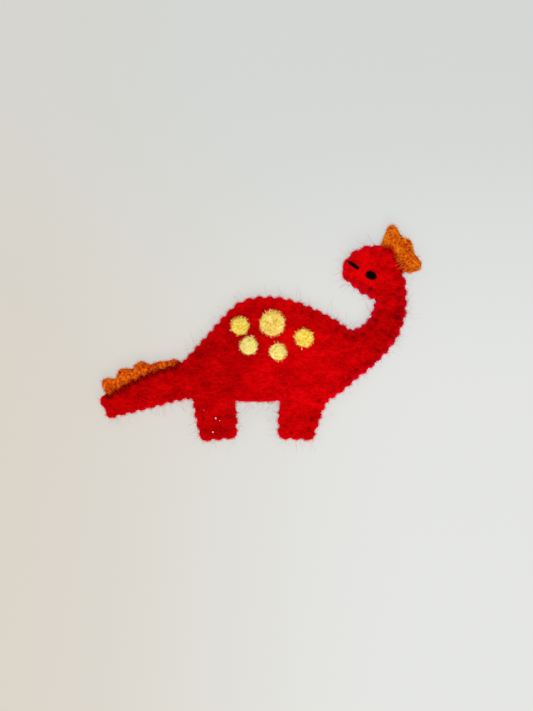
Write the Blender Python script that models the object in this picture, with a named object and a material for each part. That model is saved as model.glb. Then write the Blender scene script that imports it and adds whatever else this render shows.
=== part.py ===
"""A finger puppet: a long-necked dinosaur of two red felt sheets, whip-stitched together round the edge.

It lies on its plain back sheet with its face side up, as it comes to rest. X runs from the tail to the neck,
Y from the feet to the back, and Z up. Lengths are in metres and angles in degrees.

The plan is drawn from the middle of the belly edge, where the finger goes in. Its landmarks are places on the
cut edge of the felt. The seam line runs inside that edge. The stitches and their holes, the scallops that
they pull into the edge and the raised margin all follow the seam line. The finished puppet is moved so that
the middle of its footprint is at the origin.
"""

import math

import bmesh
import bpy
import numpy as np
from mathutils import Vector
from mathutils.bvhtree import BVHTree
from mathutils.geometry import delaunay_2d_cdt, interpolate_bezier

# Felt and thread
FELT_THICKNESS = 0.0015
TRIM_THICKNESS = 0.0012
THREAD_DIAMETER = 0.0006
CLEARANCE = 0.0003

# Whip stitching
SEAM_INSET = 0.0024
STITCH_PITCH = 0.0035
SCALLOP_HEIGHT = 0.0006

# How the seam and the finger shape the sheets
MARGIN_WIDTH = 0.0010
CURL_RUN = 0.0024
PUFF_HEIGHT = 0.0011
POCKET_HEIGHT = 0.0090
POCKET_WIDTH = 0.0164
POCKET_DEPTH = 0.0340
POCKET_STRAIGHT = 0.0060
POCKET_EDGE_RUN = 0.0060
POCKET_LEG_RUN = 0.0080
OPENING_SLIT = 0.0035

# Legs
LEG_GAP = 0.0155
LEG_LENGTH = 0.0138
HIND_FOOT_WIDTH = 0.0122
FRONT_FOOT_WIDTH = 0.0118
HIND_LEG_FLARE = 0.0034
FRONT_LEG_FLARE = 0.0056

# Tail
TAIL_LENGTH = 0.0305
TAIL_ROOT_WIDTH = 0.0132
TAIL_TIP_WIDTH = 0.0074
TAIL_DROOP = 19.3
TAIL_BOW = 0.0016
TAIL_ROOT_X = -0.0264
TAIL_ROOT_Y = 0.0075

# Back and neck
BACK_PEAK_X = 0.0026
BACK_PEAK_Y = 0.0373
WITHERS_X = 0.0336
WITHERS_Y = 0.0257
NECK_X = 0.0478
NECK_WIDTH = 0.0109
CHEST_TOP_Y = 0.0335

# Head
HEAD_X = 0.0413
HEAD_Y = 0.0464
HEAD_RADIUS = 0.0094

# Felt trims, which are held between the two sheets
TRIM_ROOT_DEPTH = 0.0010
TRIM_BLEND = 0.0030
CREST_OVERHANGS_IN_STITCHES = (0.32, 0.75)
CREST_HEIGHT = 0.0091
CREST_START_ANGLE = 74.0
CREST_END_ANGLE = -6.0
FRILL_OVERHANGS_IN_STITCHES = (0.75, 0.75)
FRILL_HEIGHT = 0.0061
FRILL_COVER = 0.905

# Felted spots: name, place from the middle of the belly edge, and radius
SPOT_THICKNESS = 0.0007
SPOTS = (
    ("spot_rump", -0.0065, 0.0270, 0.0036),
    ("spot_back", 0.0053, 0.0278, 0.0047),
    ("spot_shoulder", 0.0167, 0.0227, 0.0037),
    ("spot_flank_rear", -0.0030, 0.0198, 0.0036),
    ("spot_flank_front", 0.0073, 0.0177, 0.0034),
)

# Embroidered face, placed from the middle of the head as shares of its radius
EYE_LENGTH = 0.0041
EYE_WIDTH = 0.0028
EYE_THICKNESS = 0.0008
EYE_TILT = -27.0
EYE_PLACE = Vector((-0.064, -0.138))
MOUTH_LENGTH = 0.0046
MOUTH_DIAMETER = 0.0008
MOUTH_TILT = -38.0
MOUTH_PLACE = Vector((-0.723, 0.277))

# Shapes, as shares of the sizes above
RUMP_SHAPE = (
    (0.06, 0.02), (0.135, 0.11), (0.25, 0.28), (0.39, 0.485), (0.54, 0.71), (0.69, 0.895), (0.83, 0.975),
)
WITHERS_SHARES = (0.20, 0.40, 0.60, 0.80)
CHEST_SHAPE = ((0.965, 0.85), (0.89, 0.69), (0.74, 0.52), (0.56, 0.37), (0.37, 0.245), (0.20, 0.12))
HEAD_SHAPE = (
    (276, 1.10), (262, 0.92), (246, 0.86), (232, 0.845), (219, 0.86), (197, 1.02), (182, 1.13), (169, 1.13),
    (152, 1.075), (137, 1.03), (117, 0.99), (92, 0.98), (63, 1.01), (38, 0.97), (13, 1.0), (-2, 1.09),
    (-14, 1.26),
)
CREST_SHAPE = (
    (0.02, 0.10), (0.037, 0.50), (0.045, 0.78), (0.07, 0.97), (0.10, 1.02), (0.135, 0.94), (0.20, 0.82),
    (0.245, 0.82), (0.31, 0.95), (0.36, 0.96), (0.42, 0.92), (0.475, 0.87), (0.54, 0.83), (0.66, 0.83),
    (0.77, 0.87), (0.91, 0.91), (1.05, 0.88), (1.11, 0.77), (1.11, 0.54), (1.10, 0.32), (1.05, 0.20),
    (1.0, 0.12),
)
FRILL_SHAPE = (
    (0.03, 0.18), (0.036, 0.47), (0.052, 0.68), (0.087, 0.81), (0.123, 0.81), (0.163, 0.70), (0.205, 0.53),
    (0.234, 0.53), (0.258, 0.67), (0.29, 0.80), (0.32, 0.86), (0.345, 0.83), (0.40, 0.65), (0.45, 0.54),
    (0.465, 0.57), (0.48, 0.66), (0.512, 0.72), (0.553, 0.71), (0.60, 0.62), (0.652, 0.35), (0.68, 0.39),
    (0.716, 0.40), (0.78, 0.34), (0.888, 0.24), (0.923, 0.27), (0.966, 0.22), (0.99, 0.12),
)
SCALLOP_PHASES = (1 / 6, 1 / 2, 5 / 6)

# Mesh fineness
GRID_STEP = 0.0048
CURVE_STEPS = 8
BELLY_STEPS = 8
PAD_SIDES = 14
MOUTH_STEPS = 4
STEEPEST_NORMAL = 0.5
SHARP_ANGLE = 40

# Shares that leave room for rounding in the layout
UNFOLDED_SHARE = 0.97
MARGIN_SHARE = 0.95
PAD_INNER_SHARE = 0.93

RED = (0.62, 0.004, 0.006)
ORANGE = (0.72, 0.16, 0.006)
YELLOW = (0.88, 0.68, 0.16)
BLACK = (0.006, 0.006, 0.007)
FELT_ROUGHNESS = 0.95
THREAD_ROUGHNESS = 0.75

# What follows from the sizes
THREAD_RADIUS = THREAD_DIAMETER / 2
HOLE_WIDTH = THREAD_DIAMETER + 2 * CLEARANCE
HOLE_SPACING = 1.6 * HOLE_WIDTH
LOW_THREAD_GAP = CLEARANCE / 6
MARGIN_LIFT = LOW_THREAD_GAP + THREAD_DIAMETER + CLEARANCE
TRIM_LEVEL = MARGIN_LIFT + FELT_THICKNESS + CLEARANCE
TRIM_LIFT = TRIM_THICKNESS + CLEARANCE


def polar(centre, angle, radius):
    turn = math.radians(angle)
    return Vector((centre.x + radius * math.cos(turn), centre.y + radius * math.sin(turn)))


def share_of(distance, run):
    return min(max(distance / run, 0.0), 1.0)


def ease(share):
    """A smooth step from 0 to 1."""
    share = min(max(share, 0.0), 1.0)
    return share * share * (3 - 2 * share)


def tail_landmarks():
    """The tail's lower edge from the root to the tip, and its upper edge back to the root."""
    root = Vector((TAIL_ROOT_X, TAIL_ROOT_Y))
    along = polar(Vector((0, 0)), 180 + TAIL_DROOP, 1)
    up = Vector((along.y, -along.x))
    tip = root + along * TAIL_LENGTH
    lower_root, upper_root = root - up * TAIL_ROOT_WIDTH / 2, root + up * TAIL_ROOT_WIDTH / 2
    lower_tip, upper_tip = tip - up * TAIL_TIP_WIDTH / 2, tip + up * TAIL_TIP_WIDTH / 2
    lower = [lower_root.lerp(lower_tip, share) for share in (0.06, 0.5, 1)]
    upper = [
        upper_tip.lerp(upper_root, share) + math.sin(math.pi * share) * TAIL_BOW * up
        for share in (0.0, 0.25, 0.5, 0.75, 1.0)
    ]
    return lower, upper


def back_landmarks(tail_root):
    """The rump up to the peak of the back, and a quarter wave from there down to the withers."""
    peak = Vector((BACK_PEAK_X, BACK_PEAK_Y))
    rump = peak - tail_root
    saddle = Vector((WITHERS_X, WITHERS_Y)) - peak
    points = [tail_root + Vector((along * rump.x, up * rump.y)) for along, up in RUMP_SHAPE]
    for share in (0, *WITHERS_SHARES, 1):
        points.append(peak + Vector((share * saddle.x, (1 - math.cos(math.pi / 2 * share)) * saddle.y)))
    return points


def throat_landmarks(throat):
    """The hollow of the neck, a quarter ellipse from the withers to the throat."""
    reach = NECK_X - NECK_WIDTH / 2 - WITHERS_X
    rise = throat.y - WITHERS_Y
    withers = Vector((WITHERS_X, WITHERS_Y))
    turns = [math.radians(turn) for turn in (25, 50, 75)]
    return [withers + Vector((reach * math.sin(turn), rise * (1 - math.cos(turn)))) for turn in turns]


def chest_landmarks():
    """The outer side of the neck and the chest, down to the top of the front leg."""
    leg_top = Vector((LEG_GAP / 2 + FRONT_FOOT_WIDTH + FRONT_LEG_FLARE, 0.0))
    side = Vector((NECK_X + NECK_WIDTH / 2, CHEST_TOP_Y))
    chest = [leg_top + Vector((out * (side.x - leg_top.x), up * side.y)) for out, up in CHEST_SHAPE]
    return [side, *chest, leg_top]


def edge_stretches():
    """The landmarks of the cut edge, clockwise from the opening. A stretch ends at each sharp corner."""
    half_gap = LEG_GAP / 2
    hind_outer = -half_gap - HIND_FOOT_WIDTH
    front_outer = half_gap + FRONT_FOOT_WIDTH
    tail_lower, tail_upper = tail_landmarks()
    head = [polar(Vector((HEAD_X, HEAD_Y)), angle, share * HEAD_RADIUS) for angle, share in HEAD_SHAPE]
    hind_leg = [
        Vector((hind_outer - 0.42 * HIND_LEG_FLARE, -0.66 * LEG_LENGTH)),
        Vector((hind_outer - 0.72 * HIND_LEG_FLARE, -0.28 * LEG_LENGTH)),
        Vector((hind_outer - HIND_LEG_FLARE, 0.0)),
    ]
    front_leg = [
        Vector((front_outer + 0.70 * FRONT_LEG_FLARE, -0.22 * LEG_LENGTH)),
        Vector((front_outer + 0.36 * FRONT_LEG_FLARE, -0.60 * LEG_LENGTH)),
        Vector((front_outer, -LEG_LENGTH)),
    ]
    return [
        [Vector((-half_gap, -OPENING_SLIT)), Vector((-half_gap, -0.95 * LEG_LENGTH))],
        [Vector((hind_outer, -1.03 * LEG_LENGTH))],
        hind_leg + tail_lower,
        [tail_upper[0]],
        tail_upper[1:] + back_landmarks(tail_upper[-1]) + throat_landmarks(head[0]) + head + chest_landmarks()
        + front_leg,
        [Vector((half_gap, -0.96 * LEG_LENGTH))],
        [Vector((half_gap, -OPENING_SLIT))],
    ]


def moved_in(points, distance):
    """An open line of points moved sideways, to the right of its direction, with mitred corners."""
    moved = []
    sides = [(end - start).normalized() for start, end in zip(points, points[1:], strict=False)]
    for index, point in enumerate(points):
        near = sides[max(index - 1, 0) : index + 1]
        mean = sum(near, Vector((0, 0))).normalized()
        miter = distance / max(mean.dot(near[0]), 0.5)
        moved.append(point + Vector((mean.y, -mean.x)) * miter)
    return moved


class Run:
    """A smooth stretch of the seam line between two corners, measured along its length."""

    def __init__(self, knots):
        ends = [2 * knots[0] - knots[1], *knots, 2 * knots[-1] - knots[-2]]
        line = []
        for before, start, end, after in zip(ends, ends[1:], ends[2:], ends[3:], strict=False):
            reach = (end - start).length / 3
            leave = start + (end - before).normalized() * reach
            arrive = end - (after - start).normalized() * reach
            line += interpolate_bezier(start, leave, arrive, end, CURVE_STEPS + 1)[:-1]
        self.points = np.array([*line, knots[-1]])
        self.along = np.concatenate([[0], np.cumsum(np.linalg.norm(np.diff(self.points, axis=0), axis=1))])
        self.length = self.along[-1]
        self.stitches = max(1, round(self.length / STITCH_PITCH))
        self.pitch = self.length / self.stitches

    def point(self, distance):
        return Vector([np.interp(distance, self.along, self.points[:, axis]) for axis in (0, 1)])

    def normal(self, distance):
        """The outward direction, to the left of the run's own."""
        reach = min(STITCH_PITCH, self.length) / 4
        ahead = self.point(min(distance + reach, self.length)) - self.point(max(distance - reach, 0))
        return Vector((-ahead.y, ahead.x)).normalized()

    def nearest(self, place):
        """How far along the run it passes closest to a place."""
        return self.along[np.argmin(np.linalg.norm(self.points - np.array(place), axis=1))]


def seam_runs():
    """The seam line, as smooth runs from corner to corner."""
    stretches = edge_stretches()
    seam = moved_in([point for stretch in stretches for point in stretch], SEAM_INSET)
    stops = np.cumsum([len(stretch) for stretch in stretches]) - 1
    return [Run(seam[start : stop + 1]) for start, stop in zip([0, *stops], stops, strict=False)]


class Stitch:
    """One stitch: the hole that it passes through, and the place where it turns over the edge."""

    def __init__(self, run, distance):
        self.run = run
        self.distance = distance
        self.hole = run.point(distance)
        self.normal = run.normal(distance)
        self.turn = self.hole + self.normal * (SEAM_INSET + CLEARANCE + THREAD_RADIUS)

    def turn_clear_of(self, ring):
        """Moves the turn out where a hollow in the edge would crowd the thread."""
        while distance_to_ring(self.turn, ring) < CLEARANCE / 2 + THREAD_RADIUS:
            self.turn += self.normal * CLEARANCE

    def punched(self, centre):
        """The corners of a square hole, lined up with this stitch."""
        side = Vector((self.normal.y, -self.normal.x))
        steps = ((-1, -1), (1, -1), (1, 1), (-1, 1))
        return [centre + HOLE_WIDTH / 2 * (across * side + out * self.normal) for across, out in steps]


def stitches_along(runs):
    """Evenly spaced stitches. One whose hole would crowd another's, across a narrow place, is left out."""
    kept = []
    for run in runs:
        for index in range(run.stitches):
            stitch = Stitch(run, (index + 0.5) * run.pitch)
            if all((stitch.hole - other.hole).length > HOLE_SPACING for other in kept):
                kept.append(stitch)
    return kept


def scalloped_edge(runs):
    """The stitched part of the cut edge: pulled in at each stitch, full between them, round at each corner.

    In a tight hollow, the places that would fold over each other are left out.
    """
    seam = np.concatenate([run.points for run in runs])
    points = []
    full = SEAM_INSET + SCALLOP_HEIGHT
    last_normal = None
    for run in runs:
        if last_normal is not None:
            for share in (0, 0.5, 1):
                outward = last_normal.lerp(run.normal(0), share).normalized()
                points.append((run.point(0) + outward * full, full))
        for index in range(run.stitches):
            for phase in SCALLOP_PHASES:
                distance = (index + phase) * run.pitch
                out = SEAM_INSET + SCALLOP_HEIGHT * abs(math.cos(math.pi * phase))
                points.append((run.point(distance) + run.normal(distance) * out, out))
        last_normal = run.normal(run.length)
    kept = [points[0][0]]
    for point, out in points:
        if nearest_distance(point, seam) > UNFOLDED_SHARE * out and (point - kept[-1]).length > CLEARANCE:
            kept.append(point)
    return kept


def opening_edge():
    """The unstitched edge: up the front leg's slit, along the belly and down the hind leg's slit."""
    half = LEG_GAP / 2
    across = [Vector((half * (1 - 2 * step / BELLY_STEPS), 0.0)) for step in range(BELLY_STEPS + 1)]
    return [Vector((half, -OPENING_SLIT)), *across, Vector((-half, -OPENING_SLIT))]


def inside(place, ring):
    """Whether a place is inside a closed ring of points, by counting the edges to its right."""
    after = np.roll(ring, -1, axis=0)
    crossed = (ring[:, 1] > place.y) != (after[:, 1] > place.y)
    start, end = ring[crossed], after[crossed]
    at = start[:, 0] + (place.y - start[:, 1]) * (end[:, 0] - start[:, 0]) / (end[:, 1] - start[:, 1])
    return np.count_nonzero(at > place.x) % 2 == 1


def nearest_distance(place, points):
    return float(np.min(np.linalg.norm(points - np.array(place), axis=1)))


def distance_to_ring(place, ring):
    """How far a place lies from the nearest side of a closed ring of points."""
    sides = np.roll(ring, -1, axis=0) - ring
    shares = np.sum((np.array(place) - ring) * sides, axis=1) / np.sum(sides * sides, axis=1)
    return nearest_distance(place, ring + np.clip(shares, 0, 1)[:, None] * sides)


class Plan:
    """Where everything lies, seen from the face side."""

    def __init__(self):
        self.runs = seam_runs()
        self.stitches = stitches_along(self.runs)
        opening = opening_edge()
        self.opening = np.array(opening)
        self.outline = scalloped_edge(self.runs) + opening
        self.ring = np.array(self.outline)
        for stitch in self.stitches:
            stitch.turn_clear_of(self.ring)
        seam = np.concatenate([run.points for run in self.runs])
        hind_slit_end = np.linspace(opening[-1], seam[0], BELLY_STEPS)
        front_slit_end = np.linspace(seam[-1], opening[0], BELLY_STEPS)
        self.seam = np.concatenate([hind_slit_end, seam, front_slit_end])
        self.back_run = max(self.runs, key=lambda run: run.length)
        head = Vector((HEAD_X, HEAD_Y))
        crest_ends = [polar(head, angle, HEAD_RADIUS) for angle in (CREST_START_ANGLE, CREST_END_ANGLE)]
        self.crest_span = [self.back_run.nearest(place) for place in crest_ends]
        self.frill_span = [0.0, FRILL_COVER * TAIL_LENGTH]
        lines = [
            np.arange(max(start - STITCH_PITCH, 0), end + STITCH_PITCH, CLEARANCE)
            for start, end in (self.crest_span, self.frill_span)
        ]
        self.trimmed = np.array([self.back_run.point(distance) for line in lines for distance in line])
        self.inner = self.margin_points() + self.grid_points()

    def depth(self, place):
        """How far inside the seam line a place lies. It is negative outside that line."""
        return nearest_distance(place, self.seam) * (1 if inside(place, self.seam) else -1)

    def margin_points(self):
        """Places between the stitches on the inner side of the margin, which stays flat for the thread."""
        points = []
        for run in self.runs:
            for index in range(1, run.stitches):
                place = run.point(index * run.pitch) - run.normal(index * run.pitch) * MARGIN_WIDTH
                clear = all((place - other).length > MARGIN_WIDTH for other in points)
                clear = clear and all((place - stitch.hole).length > HOLE_WIDTH for stitch in self.stitches)
                if clear and self.depth(place) > MARGIN_SHARE * MARGIN_WIDTH:
                    points.append(place)
        return points

    def grid_points(self):
        """Evenly spread places inside the margin."""
        low, high = self.ring.min(axis=0), self.ring.max(axis=0)
        points = []
        for row, y in enumerate(np.arange(low[1], high[1], GRID_STEP * math.sqrt(3) / 2)):
            for x in np.arange(low[0] + (row % 2) * GRID_STEP / 2, high[0], GRID_STEP):
                place = Vector((x, y))
                clear = nearest_distance(place, self.opening) > GRID_STEP / 2 and inside(place, self.ring)
                if clear and self.depth(place) > MARGIN_WIDTH + GRID_STEP / 4:
                    points.append(place)
        return points

    def back_height(self, place):
        """The underside of the back sheet: flat on the surface inside, and lifted clear of it at the seam."""
        return MARGIN_LIFT * (1 - ease((self.depth(place) - MARGIN_WIDTH) / CURL_RUN))

    def trim_lift(self, place):
        """How far the trims hold the face sheet up."""
        away = nearest_distance(place, self.trimmed) - SEAM_INSET - SCALLOP_HEIGHT
        return TRIM_LIFT * (1 - ease(away / TRIM_BLEND))

    def pocket_rise(self, place):
        """How far the finger lifts the face sheet: an arch across, which closes towards the fingertip."""
        across = 1 / (1 + (place.x / (POCKET_WIDTH / 2)) ** 4)
        if place.y > 0:
            closed = share_of(place.y - POCKET_STRAIGHT, POCKET_DEPTH - POCKET_STRAIGHT)
        else:
            closed = share_of(-place.y, POCKET_LEG_RUN)
        along = (1 + math.cos(math.pi * closed)) / 2
        return POCKET_HEIGHT * across * along * ease(self.depth(place) / POCKET_EDGE_RUN)

    def face_height(self, place):
        """The underside of the face sheet."""
        puff = PUFF_HEIGHT * ease((self.depth(place) - MARGIN_WIDTH) / CURL_RUN)
        return TRIM_LEVEL + self.trim_lift(place) + puff + self.pocket_rise(place)


def make_material(name, colour, roughness):
    material = bpy.data.materials.new(name)
    material.use_nodes = True
    shader = material.node_tree.nodes["Principled BSDF"]
    shader.inputs["Base Color"].default_value = (*colour, 1)
    shader.inputs["Roughness"].default_value = roughness
    shader.inputs["Metallic"].default_value = 0
    return material


def add_object(name, data, material, collection):
    made = bpy.data.objects.new(name, data)
    data.materials.append(material)
    collection.objects.link(made)
    return made


def add_sheet(name, outline, holes, inner, height_at, thickness, material, collection):
    """A sheet cut to an outline, with holes. height_at gives the height of its underside at a place."""
    loops = [outline, *holes]
    edges = []
    start = 0
    for loop in loops:
        edges += [(start + index, start + (index + 1) % len(loop)) for index in range(len(loop))]
        start += len(loop)
    places = [point for loop in loops for point in loop] + inner
    loop_numbers = [number for number, loop in enumerate(loops) for _ in loop] + [0] * len(inner)
    inside_outline = 1
    flat, _, faces, origins, _, _ = delaunay_2d_cdt(places, edges, [], inside_outline, 1e-9)
    numbers = [loop_numbers[origin[0]] if origin else 0 for origin in origins]
    bm = bmesh.new()
    rise = bm.verts.layers.float.new("rise")
    corners = [bm.verts.new((*place, height_at(place))) for place in flat]
    for face in faces:
        touched = {numbers[index] for index in face}
        in_a_hole = len(touched) == 1 and touched != {0}
        if not in_a_hole:
            bm.faces.new([corners[index] for index in face])
    bmesh.ops.delete(bm, geom=[corner for corner in bm.verts if not corner.link_faces], context="VERTS")
    bm.normal_update()
    for corner in bm.verts:
        corner[rise] = thickness / max(abs(corner.normal.z), STEEPEST_NORMAL)
    for made in bmesh.ops.extrude_face_region(bm, geom=bm.faces[:])["geom"]:
        if isinstance(made, bmesh.types.BMVert):
            made.co.z += made[rise]
    bmesh.ops.recalc_face_normals(bm, faces=bm.faces)
    mesh = bpy.data.meshes.new(name)
    bm.to_mesh(mesh)
    bm.free()
    mesh.shade_smooth()
    mesh.set_sharp_from_angle(angle=math.radians(SHARP_ANGLE))
    return add_object(name, mesh, material, collection)


def add_trim(name, plan, span, overhangs, shape, height, collection):
    """A felt trim along part of the edge, with its root held between the sheets by the stitches.

    overhangs says how far it runs on past its first and last stitch.
    """
    run = plan.back_run
    along_run = [stitch for stitch in plan.stitches if stitch.run is run]
    covered = [stitch for stitch in along_run if span[0] < stitch.distance < span[1]]
    first = max(covered[0].distance - overhangs[0] * run.pitch, 0)
    last = covered[-1].distance + overhangs[1] * run.pitch
    outline = []
    for share, rise in shape:
        distance = first + share * (last - first)
        outline.append(run.point(distance) + run.normal(distance) * (SEAM_INSET + rise * height))
    for distance in np.linspace(last, first, 2 * len(covered) + 1):
        outline.append(run.point(distance) - run.normal(distance) * TRIM_ROOT_DEPTH)
    holes = [stitch.punched(place) for stitch in covered for place in (stitch.hole, stitch.turn)]
    felt = make_material("orange_felt_" + name, ORANGE, FELT_ROUGHNESS)
    return add_sheet(name, outline, holes, [], lambda place: TRIM_LEVEL, TRIM_THICKNESS, felt, collection)


def add_thread(name, places, diameter, material, collection):
    curve = bpy.data.curves.new(name, "CURVE")
    curve.dimensions = "3D"
    curve.bevel_depth = diameter / 2
    curve.bevel_resolution = 0
    curve.use_fill_caps = True
    spline = curve.splines.new("POLY")
    spline.points.add(len(places) - 1)
    for point, place in zip(spline.points, places, strict=True):
        point.co = (*place, 1)
    return add_object(name, curve, material, collection)


def add_whip_stitching(plan, collection):
    """One thread all round: up through each hole, over the edge, and under the back to the next hole."""
    low = LOW_THREAD_GAP + THREAD_RADIUS
    over = TRIM_LEVEL + FELT_THICKNESS + CLEARANCE + THREAD_RADIUS
    places = []
    for stitch in plan.stitches:
        around = stitch.punched(stitch.hole) + stitch.punched(stitch.turn)
        high = over + max(plan.trim_lift(place) for place in around)
        places += [(*stitch.hole, low), (*stitch.hole, high), (*stitch.turn, high), (*stitch.turn, low)]
    thread = make_material("red_thread", RED, THREAD_ROUGHNESS)
    return add_thread("edge_thread", places, THREAD_DIAMETER, thread, collection)


class FaceSide:
    """The top of the finished face sheet. The spots, the eye and the mouth lie on it and bridge its holes."""

    def __init__(self, sheet):
        bm = bmesh.new()
        bm.from_mesh(sheet.data)
        others = [face for face in bm.faces if face.normal.z < STEEPEST_NORMAL / 2]
        bmesh.ops.delete(bm, geom=others, context="FACES")
        bmesh.ops.holes_fill(bm, edges=bm.edges, sides=4)
        self.tree = BVHTree.FromBMesh(bm)
        bm.free()

    def height(self, place):
        """The height of what lies on the sheet at a place."""
        return self.tree.ray_cast(Vector((*place, 1)), Vector((0, 0, -1)))[0].z + CLEARANCE


def add_pad(name, plan, face_side, centre, radii, tilt, thickness, material, collection):
    """A thin oval pad that follows the face sheet."""
    turned = math.radians(tilt)
    rim = []
    for side in range(PAD_SIDES):
        turn = 2 * math.pi * side / PAD_SIDES
        along, across = radii[0] * math.cos(turn), radii[1] * math.sin(turn)
        spread = Vector((math.cos(turned), math.sin(turned))) * along
        spread += Vector((-math.sin(turned), math.cos(turned))) * across
        rim.append(centre + spread)
    within = PAD_INNER_SHARE * min(radii)
    inner = [place for place in plan.inner if (place - centre).length < within]
    return add_sheet(name, rim, [], inner, face_side.height, thickness, material, collection)


def clear_of_stitches(plan, centre, radius):
    """The centre of a round pad, moved straight away from any stitch that the pad would crowd."""
    for stitch in plan.stitches:
        away = centre - stitch.hole
        crowded = max(radius + HOLE_WIDTH / 2 - away.length, 0)
        centre = centre + away.normalized() * crowded
    return centre


def add_spots(plan, face_side, collection):
    for name, x, y, radius in SPOTS:
        felt = make_material("yellow_felt_" + name, YELLOW, FELT_ROUGHNESS)
        centre = clear_of_stitches(plan, Vector((x, y)), radius)
        add_pad(name, plan, face_side, centre, (radius, radius), 0, SPOT_THICKNESS, felt, collection)


def add_eye(plan, face_side, collection):
    thread = make_material("black_thread_eye", BLACK, THREAD_ROUGHNESS)
    centre = Vector((HEAD_X, HEAD_Y)) + HEAD_RADIUS * EYE_PLACE
    radii = (EYE_LENGTH / 2, EYE_WIDTH / 2)
    add_pad("eye", plan, face_side, centre, radii, EYE_TILT, EYE_THICKNESS, thread, collection)


def add_mouth(plan, face_side, collection):
    """One straight stitch. It crosses the seam line midway between two stitches of the edge."""
    thread = make_material("black_thread_mouth", BLACK, THREAD_ROUGHNESS)
    middle = Vector((HEAD_X, HEAD_Y)) + HEAD_RADIUS * MOUTH_PLACE
    run = plan.back_run
    crossing = run.nearest(middle)
    middle += run.point(round(crossing / run.pitch) * run.pitch) - run.point(crossing)
    places = []
    for step in range(MOUTH_STEPS + 1):
        place = polar(middle, MOUTH_TILT, MOUTH_LENGTH * (step / MOUTH_STEPS - 0.5))
        places.append((*place, face_side.height(place) + MOUTH_DIAMETER / 2))
    add_thread("mouth", places, MOUTH_DIAMETER, thread, collection)


def centre_footprint(collection):
    """Moves the pieces so that the middle of their footprint is at the origin."""
    bpy.context.view_layer.update()
    pieces = collection.objects
    corners = [piece.matrix_world @ Vector(corner) for piece in pieces for corner in piece.bound_box]
    for axis in (0, 1):
        values = [corner[axis] for corner in corners]
        for piece in pieces:
            piece.location[axis] -= (min(values) + max(values)) / 2


def main():
    for old in list(bpy.data.objects):
        bpy.data.objects.remove(old)
    collection = bpy.data.collections.new("finger_puppet")
    bpy.context.scene.collection.children.link(collection)
    plan = Plan()
    holes = [stitch.punched(stitch.hole) for stitch in plan.stitches]
    for name, height_at in (("back_panel", plan.back_height), ("front_panel", plan.face_height)):
        felt = make_material("red_felt_" + name, RED, FELT_ROUGHNESS)
        sheet = add_sheet(name, plan.outline, holes, plan.inner, height_at, FELT_THICKNESS, felt, collection)
    overhangs = CREST_OVERHANGS_IN_STITCHES
    add_trim("head_crest", plan, plan.crest_span, overhangs, CREST_SHAPE, CREST_HEIGHT, collection)
    overhangs = FRILL_OVERHANGS_IN_STITCHES
    add_trim("tail_frill", plan, plan.frill_span, overhangs, FRILL_SHAPE, FRILL_HEIGHT, collection)
    add_whip_stitching(plan, collection)
    face_side = FaceSide(sheet)
    add_spots(plan, face_side, collection)
    add_eye(plan, face_side, collection)
    add_mouth(plan, face_side, collection)
    centre_footprint(collection)


main()
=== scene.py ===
"""The looks of the felt finger puppet, built round its CAD solids.

Every piece takes its place from the solids: the cut edges, the stitch holes and the heights of the felt
are read from them. The felt is a fine closed mesh with a rounded, lobed edge, dimples at the stitches and
a fuzz of loose wool. Lengths are in metres.
"""

import math

import bmesh
import bpy
import numpy as np
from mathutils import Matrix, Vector, noise
from mathutils.bvhtree import BVHTree
from mathutils.geometry import delaunay_2d_cdt


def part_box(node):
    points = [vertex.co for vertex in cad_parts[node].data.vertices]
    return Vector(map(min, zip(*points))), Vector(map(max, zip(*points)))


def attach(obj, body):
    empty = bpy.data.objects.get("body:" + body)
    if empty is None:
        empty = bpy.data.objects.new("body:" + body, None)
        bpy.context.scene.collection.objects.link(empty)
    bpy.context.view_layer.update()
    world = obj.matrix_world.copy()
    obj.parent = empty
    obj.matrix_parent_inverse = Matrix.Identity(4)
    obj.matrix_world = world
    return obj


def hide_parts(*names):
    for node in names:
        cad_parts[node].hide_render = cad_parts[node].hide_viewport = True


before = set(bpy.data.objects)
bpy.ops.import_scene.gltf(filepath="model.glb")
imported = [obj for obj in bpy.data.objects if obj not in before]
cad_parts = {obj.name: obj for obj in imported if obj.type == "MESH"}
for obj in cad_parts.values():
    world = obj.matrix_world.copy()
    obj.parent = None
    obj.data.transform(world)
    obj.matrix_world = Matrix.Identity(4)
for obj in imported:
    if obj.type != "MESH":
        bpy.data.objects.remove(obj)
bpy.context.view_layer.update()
MM = 0.001

# Felt
OUTER_STEP = 0.40 * MM
INNER_STEP = 1.40 * MM
EDGE_STEP = 0.42 * MM
EDGE_ROUNDNESS = 0.75 * MM
EDGE_RINGS = (0.07 * MM, 0.22 * MM, 0.45 * MM)
RING_CLEARANCE = 0.95
BACK_STEP_SHARE = 1.3
RIM_REACH = 0.6 * MM
# How much thinner the fuzz is where the felt takes painted shade
SHADE_FUZZ_LOSS = 0.95
FRAY = 0.07 * MM
FRAY_SIZES = (0.6 * MM, 1.7 * MM)
LUMP_SIZE = 1.5 * MM
LUMP_HEIGHT = 0.07 * MM
FINER_LUMPS = 2.3
FINER_SHARE = 0.6
MAP_STEP = 0.4 * MM
MAP_MARGIN = 2 * MM
MAP_BLUR = 1.0 * MM
CAST_FROM = 0.05
MERGE_DISTANCE = 0.001 * MM
UP_FACING = 0.2
LEAST_HEIGHT = 0.02 * MM

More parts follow.
